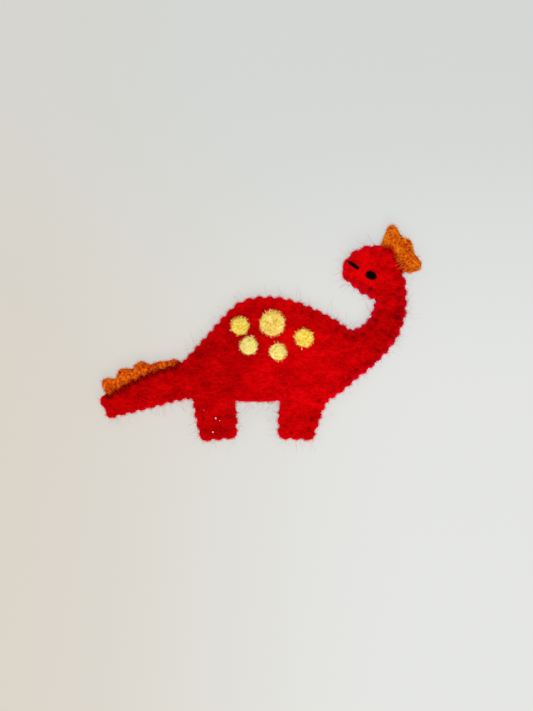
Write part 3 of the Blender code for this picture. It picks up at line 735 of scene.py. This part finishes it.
def loose_fibre_tree(segments):
    """Loose fibres of wool that grow from a surface, more of them where the attribute Where is higher."""
    tree = Tree(
        "loose_fibres", Where="String", Density="Float", Length="Float", Width="Float", Low="Float",
        High="Float", Across="Float", Curl="Float", Floor="Float", Seed="Int", Material="Material",
    )
    given = tree.given
    shapes = tree.node("GeometryNodeJoinGeometry", {}, {}).inputs[0]
    half = tree.sum("DIVIDE", given["Width"], tree.sum("MULTIPLY", given["Length"], 2.0))
    for lean, sway, wave in FIBRE_SHAPES:
        line = tree.node("GeometryNodeCurvePrimitiveLine", {}, {"End": (0, 0, 1)}).outputs[0]
        line = tree.node("GeometryNodeResampleCurve", {}, {"Curve": line, "Count": segments + 1}).outputs[0]
        at = tree.node("GeometryNodeSplineParameter", {}, {}).outputs["Factor"]
        curve = tree.sum("MULTIPLY", tree.sum("MULTIPLY", at, at), given["Curl"])
        ripple = tree.sum("MULTIPLY", tree.sum("SINE", tree.sum("MULTIPLY", at, FIBRE_RIPPLES)), wave)
        x = tree.sum("MULTIPLY_ADD", curve, lean, ripple)
        y = tree.sum("MULTIPLY", curve, sway)
        values = {"Geometry": line, "Offset": tree.combine(X=x, Y=y)}
        line = tree.node("GeometryNodeSetPosition", {}, values).outputs[0]
        ends = [tree.combine(X=tree.sum("MULTIPLY", half, sign)) for sign in (-1.0, 1.0)]
        flat = tree.node("GeometryNodeCurvePrimitiveLine", {}, {"Start": ends[0], "End": ends[1]}).outputs[0]
        fibre = tree.node("GeometryNodeCurveToMesh", {}, {"Curve": line, "Profile Curve": flat}).outputs[0]
        tree.feed(shapes, tree.node("GeometryNodeGeometryToInstance", {}, {"Geometry": fibre}).outputs[0])
    values = {"Name": given["Where"]}
    weight = tree.node("GeometryNodeInputNamedAttribute", {"data_type": "FLOAT"}, values).outputs[0]
    density = tree.sum("MULTIPLY", given["Density"], weight)
    values = {"Mesh": given["Geometry"], "Density": density, "Seed": given["Seed"]}
    grown = tree.node("GeometryNodeDistributePointsOnFaces", {}, values)
    normal = grown.outputs["Normal"]
    values = {"Geometry": grown.outputs["Points"], "Name": "tint", "Value": tree.random(0.0, 1.0, 6)}
    settings = {"data_type": "FLOAT", "domain": "POINT"}
    points = tree.node("GeometryNodeStoreNamedAttribute", settings, values).outputs[0]
    values = {0: (-1, -1, -1), 1: (1, 1, 1), "Seed": 1}
    way = tree.node("FunctionNodeRandomValue", {"data_type": "FLOAT_VECTOR"}, values).outputs[0]
    squeeze = tree.combine(X=given["Across"], Y=1.0, Z=1.0)
    way = tree.vector("CROSS_PRODUCT", normal, tree.vector("MULTIPLY", way, squeeze))
    way = tree.vector("NORMALIZE", way)
    lean = tree.random(given["Low"], given["High"], 2)
    up = tree.along(normal, tree.sum("COSINE", lean))
    out = tree.along(way, tree.sum("SINE", lean))
    direction = tree.vector("ADD", up, out)
    turned = tree.node("FunctionNodeAlignRotationToVector", {"axis": "Z"}, {"Vector": direction}).outputs[0]
    values = {"Rotation": turned, "Rotate By": tree.combine(Z=tree.random(0.0, 2 * math.pi, 3))}
    turned = tree.node("FunctionNodeRotateRotation", {"rotation_space": "LOCAL"}, values).outputs[0]
    size = tree.sum("MULTIPLY", given["Length"], tree.random(SHORTEST_FIBRE, 1.0, 4))
    values = {4: 0, 5: len(FIBRE_SHAPES) - 1, "Seed": 5}
    choice = tree.node("FunctionNodeRandomValue", {"data_type": "INT"}, values)
    values = {
        "Points": points, "Instance": shapes.node.outputs[0], "Pick Instance": True,
        "Instance Index": choice.outputs[2], "Rotation": turned, "Scale": size,
    }
    fibres = tree.node("GeometryNodeInstanceOnPoints", {}, values).outputs[0]
    fibres = tree.node("GeometryNodeRealizeInstances", {}, {0: fibres}).outputs[0]
    position = tree.node("GeometryNodeInputPosition", {}, {}).outputs[0]
    split = tree.node("ShaderNodeSeparateXYZ", {}, {0: position}).outputs
    position = tree.combine(X=split["X"], Y=split["Y"], Z=tree.sum("MAXIMUM", split["Z"], given["Floor"]))
    fibres = tree.node("GeometryNodeSetPosition", {}, {"Geometry": fibres, "Position": position}).outputs[0]
    values = {"Geometry": fibres, "Material": given["Material"]}
    tree.feed(tree.result, tree.node("GeometryNodeSetMaterial", {}, values).outputs[0])
    return tree


def twisted_thread_tree(plies):
    """Twisted threads that follow the edges of a mesh."""
    tree = Tree("twisted_threads", Radius="Float", Twist="Float", Step="Float", Material="Material")
    given = tree.given
    lines = tree.node("GeometryNodeMeshToCurve", {}, {"Mesh": given["Geometry"]}).outputs[0]
    values = {"Curve": lines, "Length": given["Step"]}
    lines = tree.node("GeometryNodeResampleCurve", {"mode": "LENGTH"}, values).outputs[0]
    length = tree.node("GeometryNodeSplineParameter", {}, {}).outputs["Length"]
    around = tree.sum("MULTIPLY", tree.sum("DIVIDE", length, given["Twist"]), 2 * math.pi)
    normal = tree.node("GeometryNodeInputNormal", {}, {}).outputs[0]
    tangent = tree.node("GeometryNodeInputTangent", {}, {}).outputs[0]
    aside = tree.vector("CROSS_PRODUCT", tangent, normal)
    values = {"Resolution": THREAD_SIDES, "Radius": given["Radius"]}
    circle = tree.node("GeometryNodeCurvePrimitiveCircle", {}, values)
    joined = tree.node("GeometryNodeJoinGeometry", {}, {})
    for ply in range(plies):
        angle = tree.sum("ADD", around, 2 * math.pi * ply / plies)
        reach = tree.sum("MULTIPLY", given["Radius"], PLY_REACH)
        first = tree.along(normal, tree.sum("MULTIPLY", tree.sum("COSINE", angle), reach))
        second = tree.along(aside, tree.sum("MULTIPLY", tree.sum("SINE", angle), reach))
        values = {"Geometry": lines, "Offset": tree.vector("ADD", first, second)}
        ply_line = tree.node("GeometryNodeSetPosition", {}, values).outputs[0]
        values = {"Curve": ply_line, "Profile Curve": circle.outputs[0], "Fill Caps": True}
        tree.feed(joined.inputs[0], tree.node("GeometryNodeCurveToMesh", {}, values).outputs[0])
    smooth = tree.node("GeometryNodeSetShadeSmooth", {}, {"Geometry": joined.outputs[0]}).outputs[0]
    plain = tree.node("GeometryNodeRealizeInstances", {}, {0: smooth}).outputs[0]
    values = {"Geometry": plain, "Material": given["Material"]}
    tree.feed(tree.result, tree.node("GeometryNodeSetMaterial", {}, values).outputs[0])
    return tree


FIBRES = loose_fibre_tree(3)
WISPS = loose_fibre_tree(6)
TWO_PLY = twisted_thread_tree(2)


def with_heights(places, heights):
    return [(*place, height) for place, height in zip(places, heights, strict=True)]


def line_mesh(name, lines):
    """A mesh of bare edges along lists of places."""
    places, edges = [], []
    for line in lines:
        edges += [(len(places) + index, len(places) + index + 1) for index in range(len(line) - 1)]
        places += [tuple(place) for place in line]
    mesh = bpy.data.meshes.new(name)
    mesh.from_pydata(places, edges, [])
    return mesh


def add_threads(name, lines, radius, twist, material, slot, *replaced):
    source = line_mesh(name + "_lines", lines)
    mesh = TWO_PLY.apply(name, source, Radius=radius, Twist=twist, Step=THREAD_STEP, Material=material)
    return add_piece(name, mesh, None, slot, *replaced)


def add_fuzz(name, mesh, material, slot, tree=FIBRES, **values):
    """Loose fibres on a felt mesh. Its inputs are those of the fibre tree."""
    settings = {
        "Where": "fuzz", "Width": 0.05 * MM, "Low": 0.9, "High": 1.5, "Across": 1.0, "Curl": 1.0,
        "Floor": 0.02 * MM, "Seed": 1,
    }
    settings.update(values)
    return add_piece(name, tree.apply(name, mesh, Material=material, **settings), None, slot)


def notched(edge, turns):
    """The same edge, a little smaller to leave room for the fuzz, and pulled in where each stitch turns."""
    apart = np.linalg.norm(edge.points[:, None] - turns, axis=2).min(axis=1)
    pulled = EDGE_FUZZ + NOTCH_DEPTH * np.exp(-((apart / NOTCH_WIDTH) ** 2))
    for place, depth, width in EDGE_PULLS:
        pulled += depth * np.exp(-((np.linalg.norm(edge.points - place, axis=1) / width) ** 2))
    return Edge(edge.points - edge.outward * pulled[:, None])


def drawn_in(edge, trim, amount, run):
    """The same edge, moved in where it lies on a trim, and from 0 to 1 how far each place has moved."""
    share = trim.inside(edge.points).astype(float)
    window = np.hanning(2 * round(run / EDGE_STEP) + 1)
    around = np.concatenate([share[-len(window):], share, share[: len(window)]])
    share = np.convolve(around, window / window.sum(), mode="same")[len(window) : -len(window)]
    return Edge(edge.points - edge.outward * (amount * share)[:, None]), share


# The cut edges, and the holes of the stitches
SHEET_RINGS = cut_edges("front_panel")
SHEET_EDGE = Edge(smooth_ring(SHEET_RINGS[0], EDGE_STEP))
HOLES = np.array([ring.mean(axis=0) for ring in SHEET_RINGS[1:]])
TRIM_EDGES = [Edge(smooth_ring(cut_edges(node)[0], EDGE_STEP)) for node in ("tail_frill", "head_crest")]
FRILL_EDGE, CREST_EDGE = TRIM_EDGES
BACK_EDGE = notched(SHEET_EDGE, SHEET_EDGE.nearest(HOLES)[1])
FACE_EDGE, AT_FRILL = drawn_in(BACK_EDGE, FRILL_EDGE, FRILL_EDGE_IN, FRILL_EDGE_RUN)
SEAM_WIDTHS, TURNS = FACE_EDGE.nearest(HOLES)
OUTWARD = (TURNS - HOLES) / SEAM_WIDTHS[:, None]
SIDEWAYS = np.stack([-OUTWARD[:, 1], OUTWARD[:, 0]], axis=1)
TIGHTNESS = np.interp(HOLES[:, 0], (LOOSE_AT, TIGHT_AT), (LOOSEST, 1.0))
TIGHTNESS *= 0.72 + 1.1 * lumps(HOLES, TIGHTNESS_SIZE, 2)


def stitch_relief(places):
    """How far the stitches pull the felt in: a dimple, the bed of the thread and a pucker inwards."""
    relief = np.zeros(len(places))
    for hole, outward, aside, tightness in zip(HOLES, OUTWARD, SIDEWAYS, TIGHTNESS, strict=True):
        apart = places - hole
        near = np.abs(apart).max(axis=1) < STITCH_RANGE
        across = apart[near] @ aside
        inwards = -apart[near] @ outward
        dimple = DIMPLE_DEPTH * np.exp(-(across**2 + inwards**2) / (2 * DIMPLE_RADIUS**2))
        bed = BED_DEPTH * np.exp(-(across**2) / (2 * BED_WIDTH**2)) * np.clip(-inwards / BED_START, 0, 1)
        reach = np.exp(-np.maximum(inwards, 0) / PUCKER_REACH) * (inwards > 0)
        pucker = PUCKER_DEPTH * np.exp(-(across**2) / (2 * PUCKER_WIDTH**2)) * reach
        pulled = tightness * (np.maximum(dimple, bed) + PUCKER_SHARE * pucker)
        relief[near] = np.maximum(relief[near], pulled)
    return relief


def painted_shade_share(places):
    """How much painted shade the felt takes in its dimples, at the crest's holes and where it is sewn to the
    frill, from 0 to 1.
    """
    stitches = zip(HOLES, DIMPLE_DARK * TIGHTNESS, strict=True)
    dark_places = [(hole, darkness, DIMPLE_DARK_RADIUS) for hole, darkness in stitches]
    dark_places += [(np.array(hole) * MM, CREST_DARK, CREST_DARK_RADIUS) for hole in CREST_HOLES]
    share = np.zeros(len(places))
    for hole, darkness, radius in dark_places:
        apart = ((places - hole) ** 2).sum(axis=1)
        share = np.maximum(share, darkness * np.exp(-apart / (2 * radius**2)))
    sewn = FACE_EDGE.points[AT_FRILL > 0.5]
    away = np.min([np.linalg.norm(places - point, axis=1) for point in sewn], axis=0)
    return np.clip(np.maximum(share, FRILL_DARK * np.exp(-((away / FRILL_DARK_REACH) ** 2))), 0, 1)


class PuppetSheet:
    """One of the two felt sheets. side is 1 for the face and -1 for the back."""

    def __init__(self, node, side, edge, seed):
        self.node, self.side, self.edge, self.seed = node, side, edge, seed
        self.outer_map = HeightMap(node, side)
        self.inner_map = HeightMap(node, -side)

    def outer(self, places):
        finer = FINER_SHARE * lumps(places, LUMP_SIZE / FINER_LUMPS, self.seed + 4)
        bumps = lumps(places, LUMP_SIZE, self.seed) + finer
        heights = self.outer_map.at(places) + self.side * (LUMP_HEIGHT * bumps - stitch_relief(places))
        return np.maximum(heights, LEAST_HEIGHT)

    def inner(self, places):
        """The inner side. At the seam it is drawn to the other sheet or a trim, so no light gets through."""
        gap = FACE.inner_map.at(places) - BACK.inner_map.at(places)
        closing = SEAM_CLOSING * gap * np.clip(2 - gap / SEAM_GAP, 0, 1)
        closing[FRILL_EDGE.inside(places) | CREST_EDGE.inside(places)] = TRIM_GAP
        return self.inner_map.at(places) - self.side * closing

    def build(self, name):
        edge = self.edge.frayed(FRAY, self.seed)
        step = OUTER_STEP if self.side > 0 else OUTER_STEP * BACK_STEP_SHARE
        mesh = felt_mesh(name, edge, self.outer, self.inner, self.side, (step, INNER_STEP), painted_shade_share)
        return add_piece(name, mesh, RED_FELT, "red_felt", self.node)


FACE = PuppetSheet("front_panel", 1, FACE_EDGE, 3)
BACK = PuppetSheet("back_panel", -1, BACK_EDGE, 21)
face_felt = FACE.build("face_felt")
back_felt = BACK.build("back_felt")


def mark_free_rim(mesh):
    """Marks the edge of a sheet where its wool is free. The trims hold it down where they are sewn on."""
    places = np.array([corner.co.xy for corner in mesh.vertices])
    rim = np.zeros(len(places))
    mesh.attributes["rim"].data.foreach_get("value", rim)
    for trim in TRIM_EDGES:
        rim[trim.inside(places) | (trim.nearest(places)[0] < TRIM_HOLD)] = 0
    mesh.attributes.new("free_rim", "FLOAT", "POINT").data.foreach_set("value", rim)


mark_free_rim(face_felt.data)
mark_free_rim(back_felt.data)
face_fuzz = add_fuzz(
    "face_fuzz", face_felt.data, RED_WOOL, "red_felt",
    Density=7.0e6, Length=1.5 * MM, Width=0.07 * MM, Low=1.15, High=1.5, Across=0.5, Seed=11,
)
face_edge_fuzz = add_fuzz(
    "face_edge_fuzz", face_felt.data, RIM_WOOL, "red_felt",
    Where="free_rim", Density=4.5e6, Length=1.0 * MM, Width=0.065 * MM, Low=0.1, High=1.3, Curl=1.5, Seed=15,
)
face_wisps = add_fuzz(
    "face_wisps", face_felt.data, WISP_WOOL, "red_felt", WISPS,
    Where="free_rim", Density=1.3e6, Length=4.8 * MM, Width=0.035 * MM, Low=0.2, High=1.3, Curl=2.2, Seed=12,
)
back_fuzz = add_fuzz(
    "back_fuzz", back_felt.data, RED_WOOL, "red_felt",
    Density=3.2e6, Length=1.7 * MM, Low=1.2, Across=0.45, Seed=13,
)
back_edge_fuzz = add_fuzz(
    "back_edge_fuzz", back_felt.data, RIM_WOOL, "red_felt",
    Where="free_rim", Density=3.5e6, Length=1.0 * MM, Width=0.065 * MM, Low=0.2, High=1.3, Curl=1.5, Seed=16,
)


def stitch_line(index):
    """The thread of a whip stitch: up from its hole, over the edge, and under the back to the next hole."""
    hole, outward, turn = HOLES[index], OUTWARD[index], TURNS[index]
    apart = HOLES - hole
    ahead = apart @ -SIDEWAYS[index]
    far = np.linalg.norm(apart, axis=1)
    far[ahead < AHEAD_SHARE * far] = np.inf
    far[index] = np.inf
    target = HOLES[far.argmin()] if far.min() < NEXT_STITCH else hole
    half = (hole + turn) / 2
    near_hole = hole + outward * WHIP_INSET
    near_turn = turn - outward * WHIP_INSET
    out = turn + outward * WHIP_OUT
    back_half = target * WHIP_BACK_SHARE + near_turn * (1 - WHIP_BACK_SHARE)
    flat = np.array([hole, near_hole, half, near_turn, out, out, near_turn, back_half, target])
    face, back = FACE.outer(flat), BACK.outer(flat)
    low, high = BACK.inner_map.at(flat), FACE.inner_map.at(flat)
    heights = [
        face[0] - WHIP_END, face[1] - FACE_BED, face[2] - FACE_SKIN, face[3] - FACE_BED,
        (face[4] + high[4]) / 2, (back[5] + low[5]) / 2,
        back[6] + BACK_BED, max(back[7] - BACK_SKIN, BACK_LEAST), back[8] + WHIP_END,
    ]
    return with_heights(flat, heights)


add_threads(
    "whip_stitches", [stitch_line(index) for index in range(len(HOLES))],
    THREAD_RADIUS, THREAD_TWIST, RED_THREAD, "red_thread", "edge_thread",
)


def add_trim(node, name, cut, felt, wool, seed):
    """An orange felt trim, flat between the two sheets, with an uneven cut edge."""
    low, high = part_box(node)

    def upper(places):
        return high[2] + LUMP_HEIGHT * lumps(places, TRIM_LUMPS, seed)

    def lower(places):
        return low[2] + LUMP_HEIGHT * lumps(places, TRIM_LUMPS, seed + 5)

    # Painted shade on the trim along the face's overhanging edge
    def sewn(places):
        away = FACE_EDGE.nearest(places)[0]
        return TRIM_DARK * np.exp(-((away / TRIM_DARK_REACH) ** 2))

    mesh = felt_mesh(name, cut.frayed(TRIM_FRAY, seed), upper, lower, 1, TRIM_STEPS, sewn)
    trim = add_piece(name, mesh, felt, "orange_felt", node)
    add_fuzz(
        name + "_fuzz", mesh, wool, "orange_felt",
        Density=10e6, Length=1.1 * MM, Width=0.08 * MM, Low=0.9, High=1.5, Seed=seed,
    )
    add_fuzz(
        name + "_edge_fuzz", mesh, wool, "orange_felt",
        Where="rim", Density=9e6, Length=1.1 * MM, Width=0.08 * MM,
        Low=0.1, High=1.2, Curl=1.5, Seed=seed + 1,
    )
    return trim


crest_felt = add_trim("head_crest", "crest_felt", CREST_EDGE, ORANGE_FELT, ORANGE_WOOL, 31)
frill_felt = add_trim("tail_frill", "frill_felt", FRILL_EDGE, RUSSET_FELT, RUSSET_WOOL, 37)


def frill_ticks():
    """Short slanted stitches that hold the frill: each runs over the cut edge of the face onto the frill."""
    sewn = np.flatnonzero(AT_FRILL > 0.6)
    sewn = np.roll(sewn, -(np.diff(sewn, append=sewn[0]).argmax() + 1))
    points, outward = FACE_EDGE.points[sewn], FACE_EDGE.outward[sewn]
    along = np.concatenate([[0], np.cumsum(np.linalg.norm(np.diff(points, axis=0), axis=1))])
    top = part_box("tail_frill")[1][2]
    lines = []
    for index, distance in enumerate(np.arange(FRILL_FIRST, along[-1], FRILL_STITCH)):
        here = int(np.searchsorted(along, distance))
        out, place = outward[here], points[here]
        aside = np.array([out[1], -out[0]])
        reach = FRILL_STITCH_REACH + FRILL_STITCH_VARIES * noise.noise(Vector((index * 0.7, 0, 5)))
        runs = np.array([FRILL_STITCH_START, FRILL_STITCH_EDGE, FRILL_STITCH_MIDDLE * reach, reach])
        slant = FRILL_STITCH_SLANT * (1 if index % 2 else -1)
        flat = place + out * runs[:, None] + aside * (slant * np.linspace(-0.5, 1, 4))[:, None]
        face = FACE.outer(flat)
        heights = (face[0] + UNDER_FACE, face[1] + IN_FACE, top + OVER_FRILL, top + IN_FRILL)
        lines.append(with_heights(flat, heights))
    return lines


add_threads("frill_stitches", frill_ticks(), FRILL_STITCH_RADIUS, THREAD_TWIST, SHADED_FRILL_THREAD, "red_thread")


def crest_strands():
    """Strands of the crest's wool, drawn over the edge of the head by the needle."""
    lines = []
    for start, end, count in CREST_STRANDS:
        start, end = np.array(start) * MM, np.array(end) * MM
        across = np.array([start[1] - end[1], end[0] - start[0]]) / np.linalg.norm(end - start)
        shares = np.linspace(0, 1, STRAND_POINTS)[:, None]
        for strand in range(count):
            longer, drift, bend = (noise.noise(Vector((strand * 1.7, count, way))) for way in (1.5, 4.5, 7.5))
            spread = ((strand + 0.5) / count - 0.5) * count * STRAND_GAP
            flat = start + (end - start) * shares * (STRAND_LENGTHS[0] + STRAND_LENGTHS[1] * longer)
            flat = flat + across * (spread + STRAND_DRIFT * drift * shares + STRAND_BEND * bend * shares**2)
            heights = FACE.outer_map.at(flat) + STRAND_ARCH * np.sin(math.pi * shares[:, 0]) + STRAND_LIFT
            lines.append(with_heights(flat, heights))
    return lines


add_threads("crest_strands", crest_strands(), STRAND_RADIUS, THREAD_TWIST, STRAND_WOOL, "orange_felt")


def add_lint(places):
    """Tiny specks of white lint that cling to the wool."""
    bm = bmesh.new()
    for index, (x, y, size) in enumerate(places):
        spot = np.array([(x * MM, y * MM)])
        height = FACE.outer(spot)[0] + LINT_RISE
        made = bmesh.ops.create_icosphere(bm, subdivisions=2, radius=size * MM)["verts"]
        for corner in made:
            corner.co *= 1 + 0.5 * noise.noise(corner.co / LINT_GRAIN + Vector((index, 0, 0)))
            corner.co += Vector((x * MM, y * MM, height))
    mesh = bpy.data.meshes.new("white_lint")
    bm.to_mesh(mesh)
    bm.free()
    mesh.shade_smooth()
    return add_piece("white_lint", mesh, WHITE_LINT, "red_felt")


add_lint(LINT)

# The finishes of each spot, and how far its fray stands out
SPOTS = {
    "spot_rump": (LEMON_FELT, LEMON_WOOL, 0.52 * MM),
    "spot_back": (GOLD_FELT, GOLD_WOOL, 0.26 * MM),
    "spot_shoulder": (LEMON_FELT, LEMON_WOOL, 0.50 * MM),
    "spot_flank_rear": (PALE_FELT, PALE_WOOL, 0.58 * MM),
    "spot_flank_front": (PALE_FELT, PALE_WOOL, 0.50 * MM),
}


def add_spot(node, felt, wool, fray, seed):
    """A felted spot: an uneven round pad that follows the face sheet. Its rim has room for fray round it."""
    low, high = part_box(node)
    centre = np.array([(low[0] + high[0]) / 2, (low[1] + high[1]) / 2])
    radius = (high[0] - low[0] + high[1] - low[1]) / 4 - fray
    turns = np.arange(SPOT_SIDES) * 2 * math.pi / SPOT_SIDES
    circle = np.stack([np.cos(turns), np.sin(turns)], axis=1)
    wave = SPOT_WAVES * lumps(circle, 0.8, seed) + 0.7 * SPOT_WAVES * lumps(circle, 0.25, seed + 3)
    edge = Edge(centre + circle * (radius * (SPOT_FILL + wave))[:, None])

    def upper(places):
        share = np.linalg.norm(places - centre, axis=1) / radius
        finer = FINER_SHARE * lumps(places, SPOT_BUMP_SIZE / 2, seed + 2)
        bumps = lumps(places, SPOT_BUMP_SIZE, seed) + finer
        return FACE.outer_map.at(places) + SPOT_RISE * (1 - SPOT_FALL * share**2) + SPOT_BUMPS * bumps

    def lower(places):
        return FACE.outer_map.at(places) - SPOT_ROOT

    mesh = felt_mesh(node + "_felt", edge, upper, lower, 1, (OUTER_STEP, OUTER_STEP * 2))
    spot = add_piece(node + "_felt", mesh, felt, "yellow_felt", node)
    add_fuzz(
        node + "_fuzz", mesh, wool, "yellow_felt",
        Density=11e6, Length=1.1 * MM, Width=0.12 * MM, Low=0.95, High=1.5, Curl=1.3, Seed=seed,
    )
    add_fuzz(
        node + "_edge_fuzz", mesh, wool, "yellow_felt",
        Where="rim", Density=7e6, Length=1.25 * MM, Width=0.17 * MM,
        Low=0.3, High=1.2, Curl=1.2, Seed=seed + 10,
    )
    return spot


for seed, (node, finishes) in enumerate(SPOTS.items(), 41):
    add_spot(node, *finishes, seed)


def eye_lines():
    """Rows of satin stitches side by side, fuller in the middle of the eye."""
    low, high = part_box("eye")
    centre = np.array([(low[0] + high[0]) / 2, (low[1] + high[1]) / 2])
    along = np.array([math.cos(EYE_TILT), math.sin(EYE_TILT)])
    across = np.array([-along[1], along[0]])
    bow = np.sqrt(np.sin(np.linspace(0, math.pi, EYE_ROW_POINTS)).clip(0))
    lines = []
    for row in range(EYE_ROWS):
        out = (row + 0.5) / EYE_ROWS * 2 - 1
        half = EYE_HALF_LENGTH * math.sqrt(1 - EYE_ROUNDNESS * out**2)
        half *= 1 + 0.22 * noise.noise(Vector((row * 0.8, 0, 3)))
        shares = np.linspace(-1, 1, EYE_ROW_POINTS) + EYE_UNEVEN * noise.noise(Vector((row * 0.9, 0, 8)))
        flat = centre + across * out * EYE_HALF_WIDTH + along * (shares * half)[:, None]
        rise = (EYE_RISE - EYE_FALL * out**2) * bow - EYE_ROOT
        lines.append(with_heights(flat, FACE.outer_map.at(flat) + rise))
    return lines


add_threads("eye_stitches", eye_lines(), EYE_ROW_RADIUS, EYE_TWIST, BLACK_THREAD, "black_thread", "eye")


def mouth_lines():
    """One straight stitch of several strands, which is fuller at its inner end."""
    low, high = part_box("mouth")
    start, end = np.array([low[0], high[1]]), np.array([high[0], low[1] + MOUTH_END_LIFT])
    lines = []
    for aside, first in MOUTH_STRANDS:
        shares = np.linspace(first, 1.0, MOUTH_POINTS)
        flat = start + (end - start) * shares[:, None] + aside * MOUTH_SLANT
        bow = np.sqrt(np.maximum(1 - (2 * (shares - first) / (1.0 - first) - 1) ** 2, 0))
        lines.append(with_heights(flat, FACE.outer_map.at(flat) + MOUTH_RISE * bow - MOUTH_ROOT))
    return lines


add_threads("mouth_stitch", mouth_lines(), MOUTH_RADIUS, MOUTH_TWIST, BLACK_THREAD, "black_thread", "mouth")


def add_floor():
    """A plain pale floor, with painted shade that makes it slightly warmer and darker to the left, away from
    the light on the right. It shows the puppet's shadow faintly.
    """
    finish = Finish("pale_floor", roughness=0.9, specular_ior_level=0.0)
    place = finish.node("ShaderNodeSeparateXYZ", {}, {0: finish.place}).outputs
    x, y = Value(finish, place["X"]), Value(finish, place["Y"])
    near = finish.blend(finish.between(x, -0.10, 0.06), *FLOOR_NEAR)
    far = finish.blend(finish.between(x, -0.10, 0.00), *FLOOR_FAR)
    colour = finish.blend(finish.between(y, -0.02, 0.10), near, far)
    finish.paint(colour)
    ray = finish.node("ShaderNodeLightPath", {}, {})
    seen = Value(finish, ray.outputs["Is Camera Ray"]) + Value(finish, ray.outputs["Is Glossy Ray"])
    seen = seen + Value(finish, ray.outputs["Is Transmission Ray"])
    glow = finish.node("ShaderNodeEmission", {}, {"Color": colour, "Strength": 1.0}).outputs[0]
    values = {0: seen * FLOOR_GLOW, 1: finish.shader.outputs[0], 2: glow}
    both = finish.node("ShaderNodeMixShader", {}, values).outputs[0]
    finish.feed(finish.tree.nodes["Material Output"].inputs["Surface"], both)
    mesh = bpy.data.meshes.new("floor")
    half = FLOOR_SIZE / 2
    corners = [(-half, -half, 0), (half, -half, 0), (half, half, 0), (-half, half, 0)]
    mesh.from_pydata(corners, [], [(0, 1, 2, 3)])
    mesh.materials.append(finish.material)
    floor = bpy.data.objects.new("floor", mesh)
    bpy.context.scene.collection.objects.link(floor)


def add_soft_light(name, place, size, power):
    """A square soft light that shines at the puppet."""
    lamp = bpy.data.lights.new(name, "AREA")
    lamp.size = size
    lamp.energy = power
    light = bpy.data.objects.new(name, lamp)
    light.location = place
    light.rotation_euler = (-Vector(place)).to_track_quat("-Z", "Y").to_euler()
    bpy.context.scene.collection.objects.link(light)


def add_world():
    world = bpy.data.worlds.new("plain_room")
    world.use_nodes = True
    background = world.node_tree.nodes["Background"]
    background.inputs["Color"].default_value = WORLD_COLOUR
    background.inputs["Strength"].default_value = WORLD_STRENGTH
    bpy.context.scene.world = world


def add_camera():
    """Looks straight down on the puppet, as it is seen from in front."""
    lens = bpy.data.cameras.new("camera")
    lens.lens = CAMERA_LENS
    camera = bpy.data.objects.new("camera", lens)
    camera.location = (CAMERA_X, CAMERA_Y, CAMERA_HEIGHT)
    bpy.context.scene.collection.objects.link(camera)
    bpy.context.scene.camera = camera


add_floor()
for lamp in LAMPS:
    add_soft_light(*lamp)
add_world()
add_camera()
bpy.context.scene.view_settings.view_transform = "Standard"
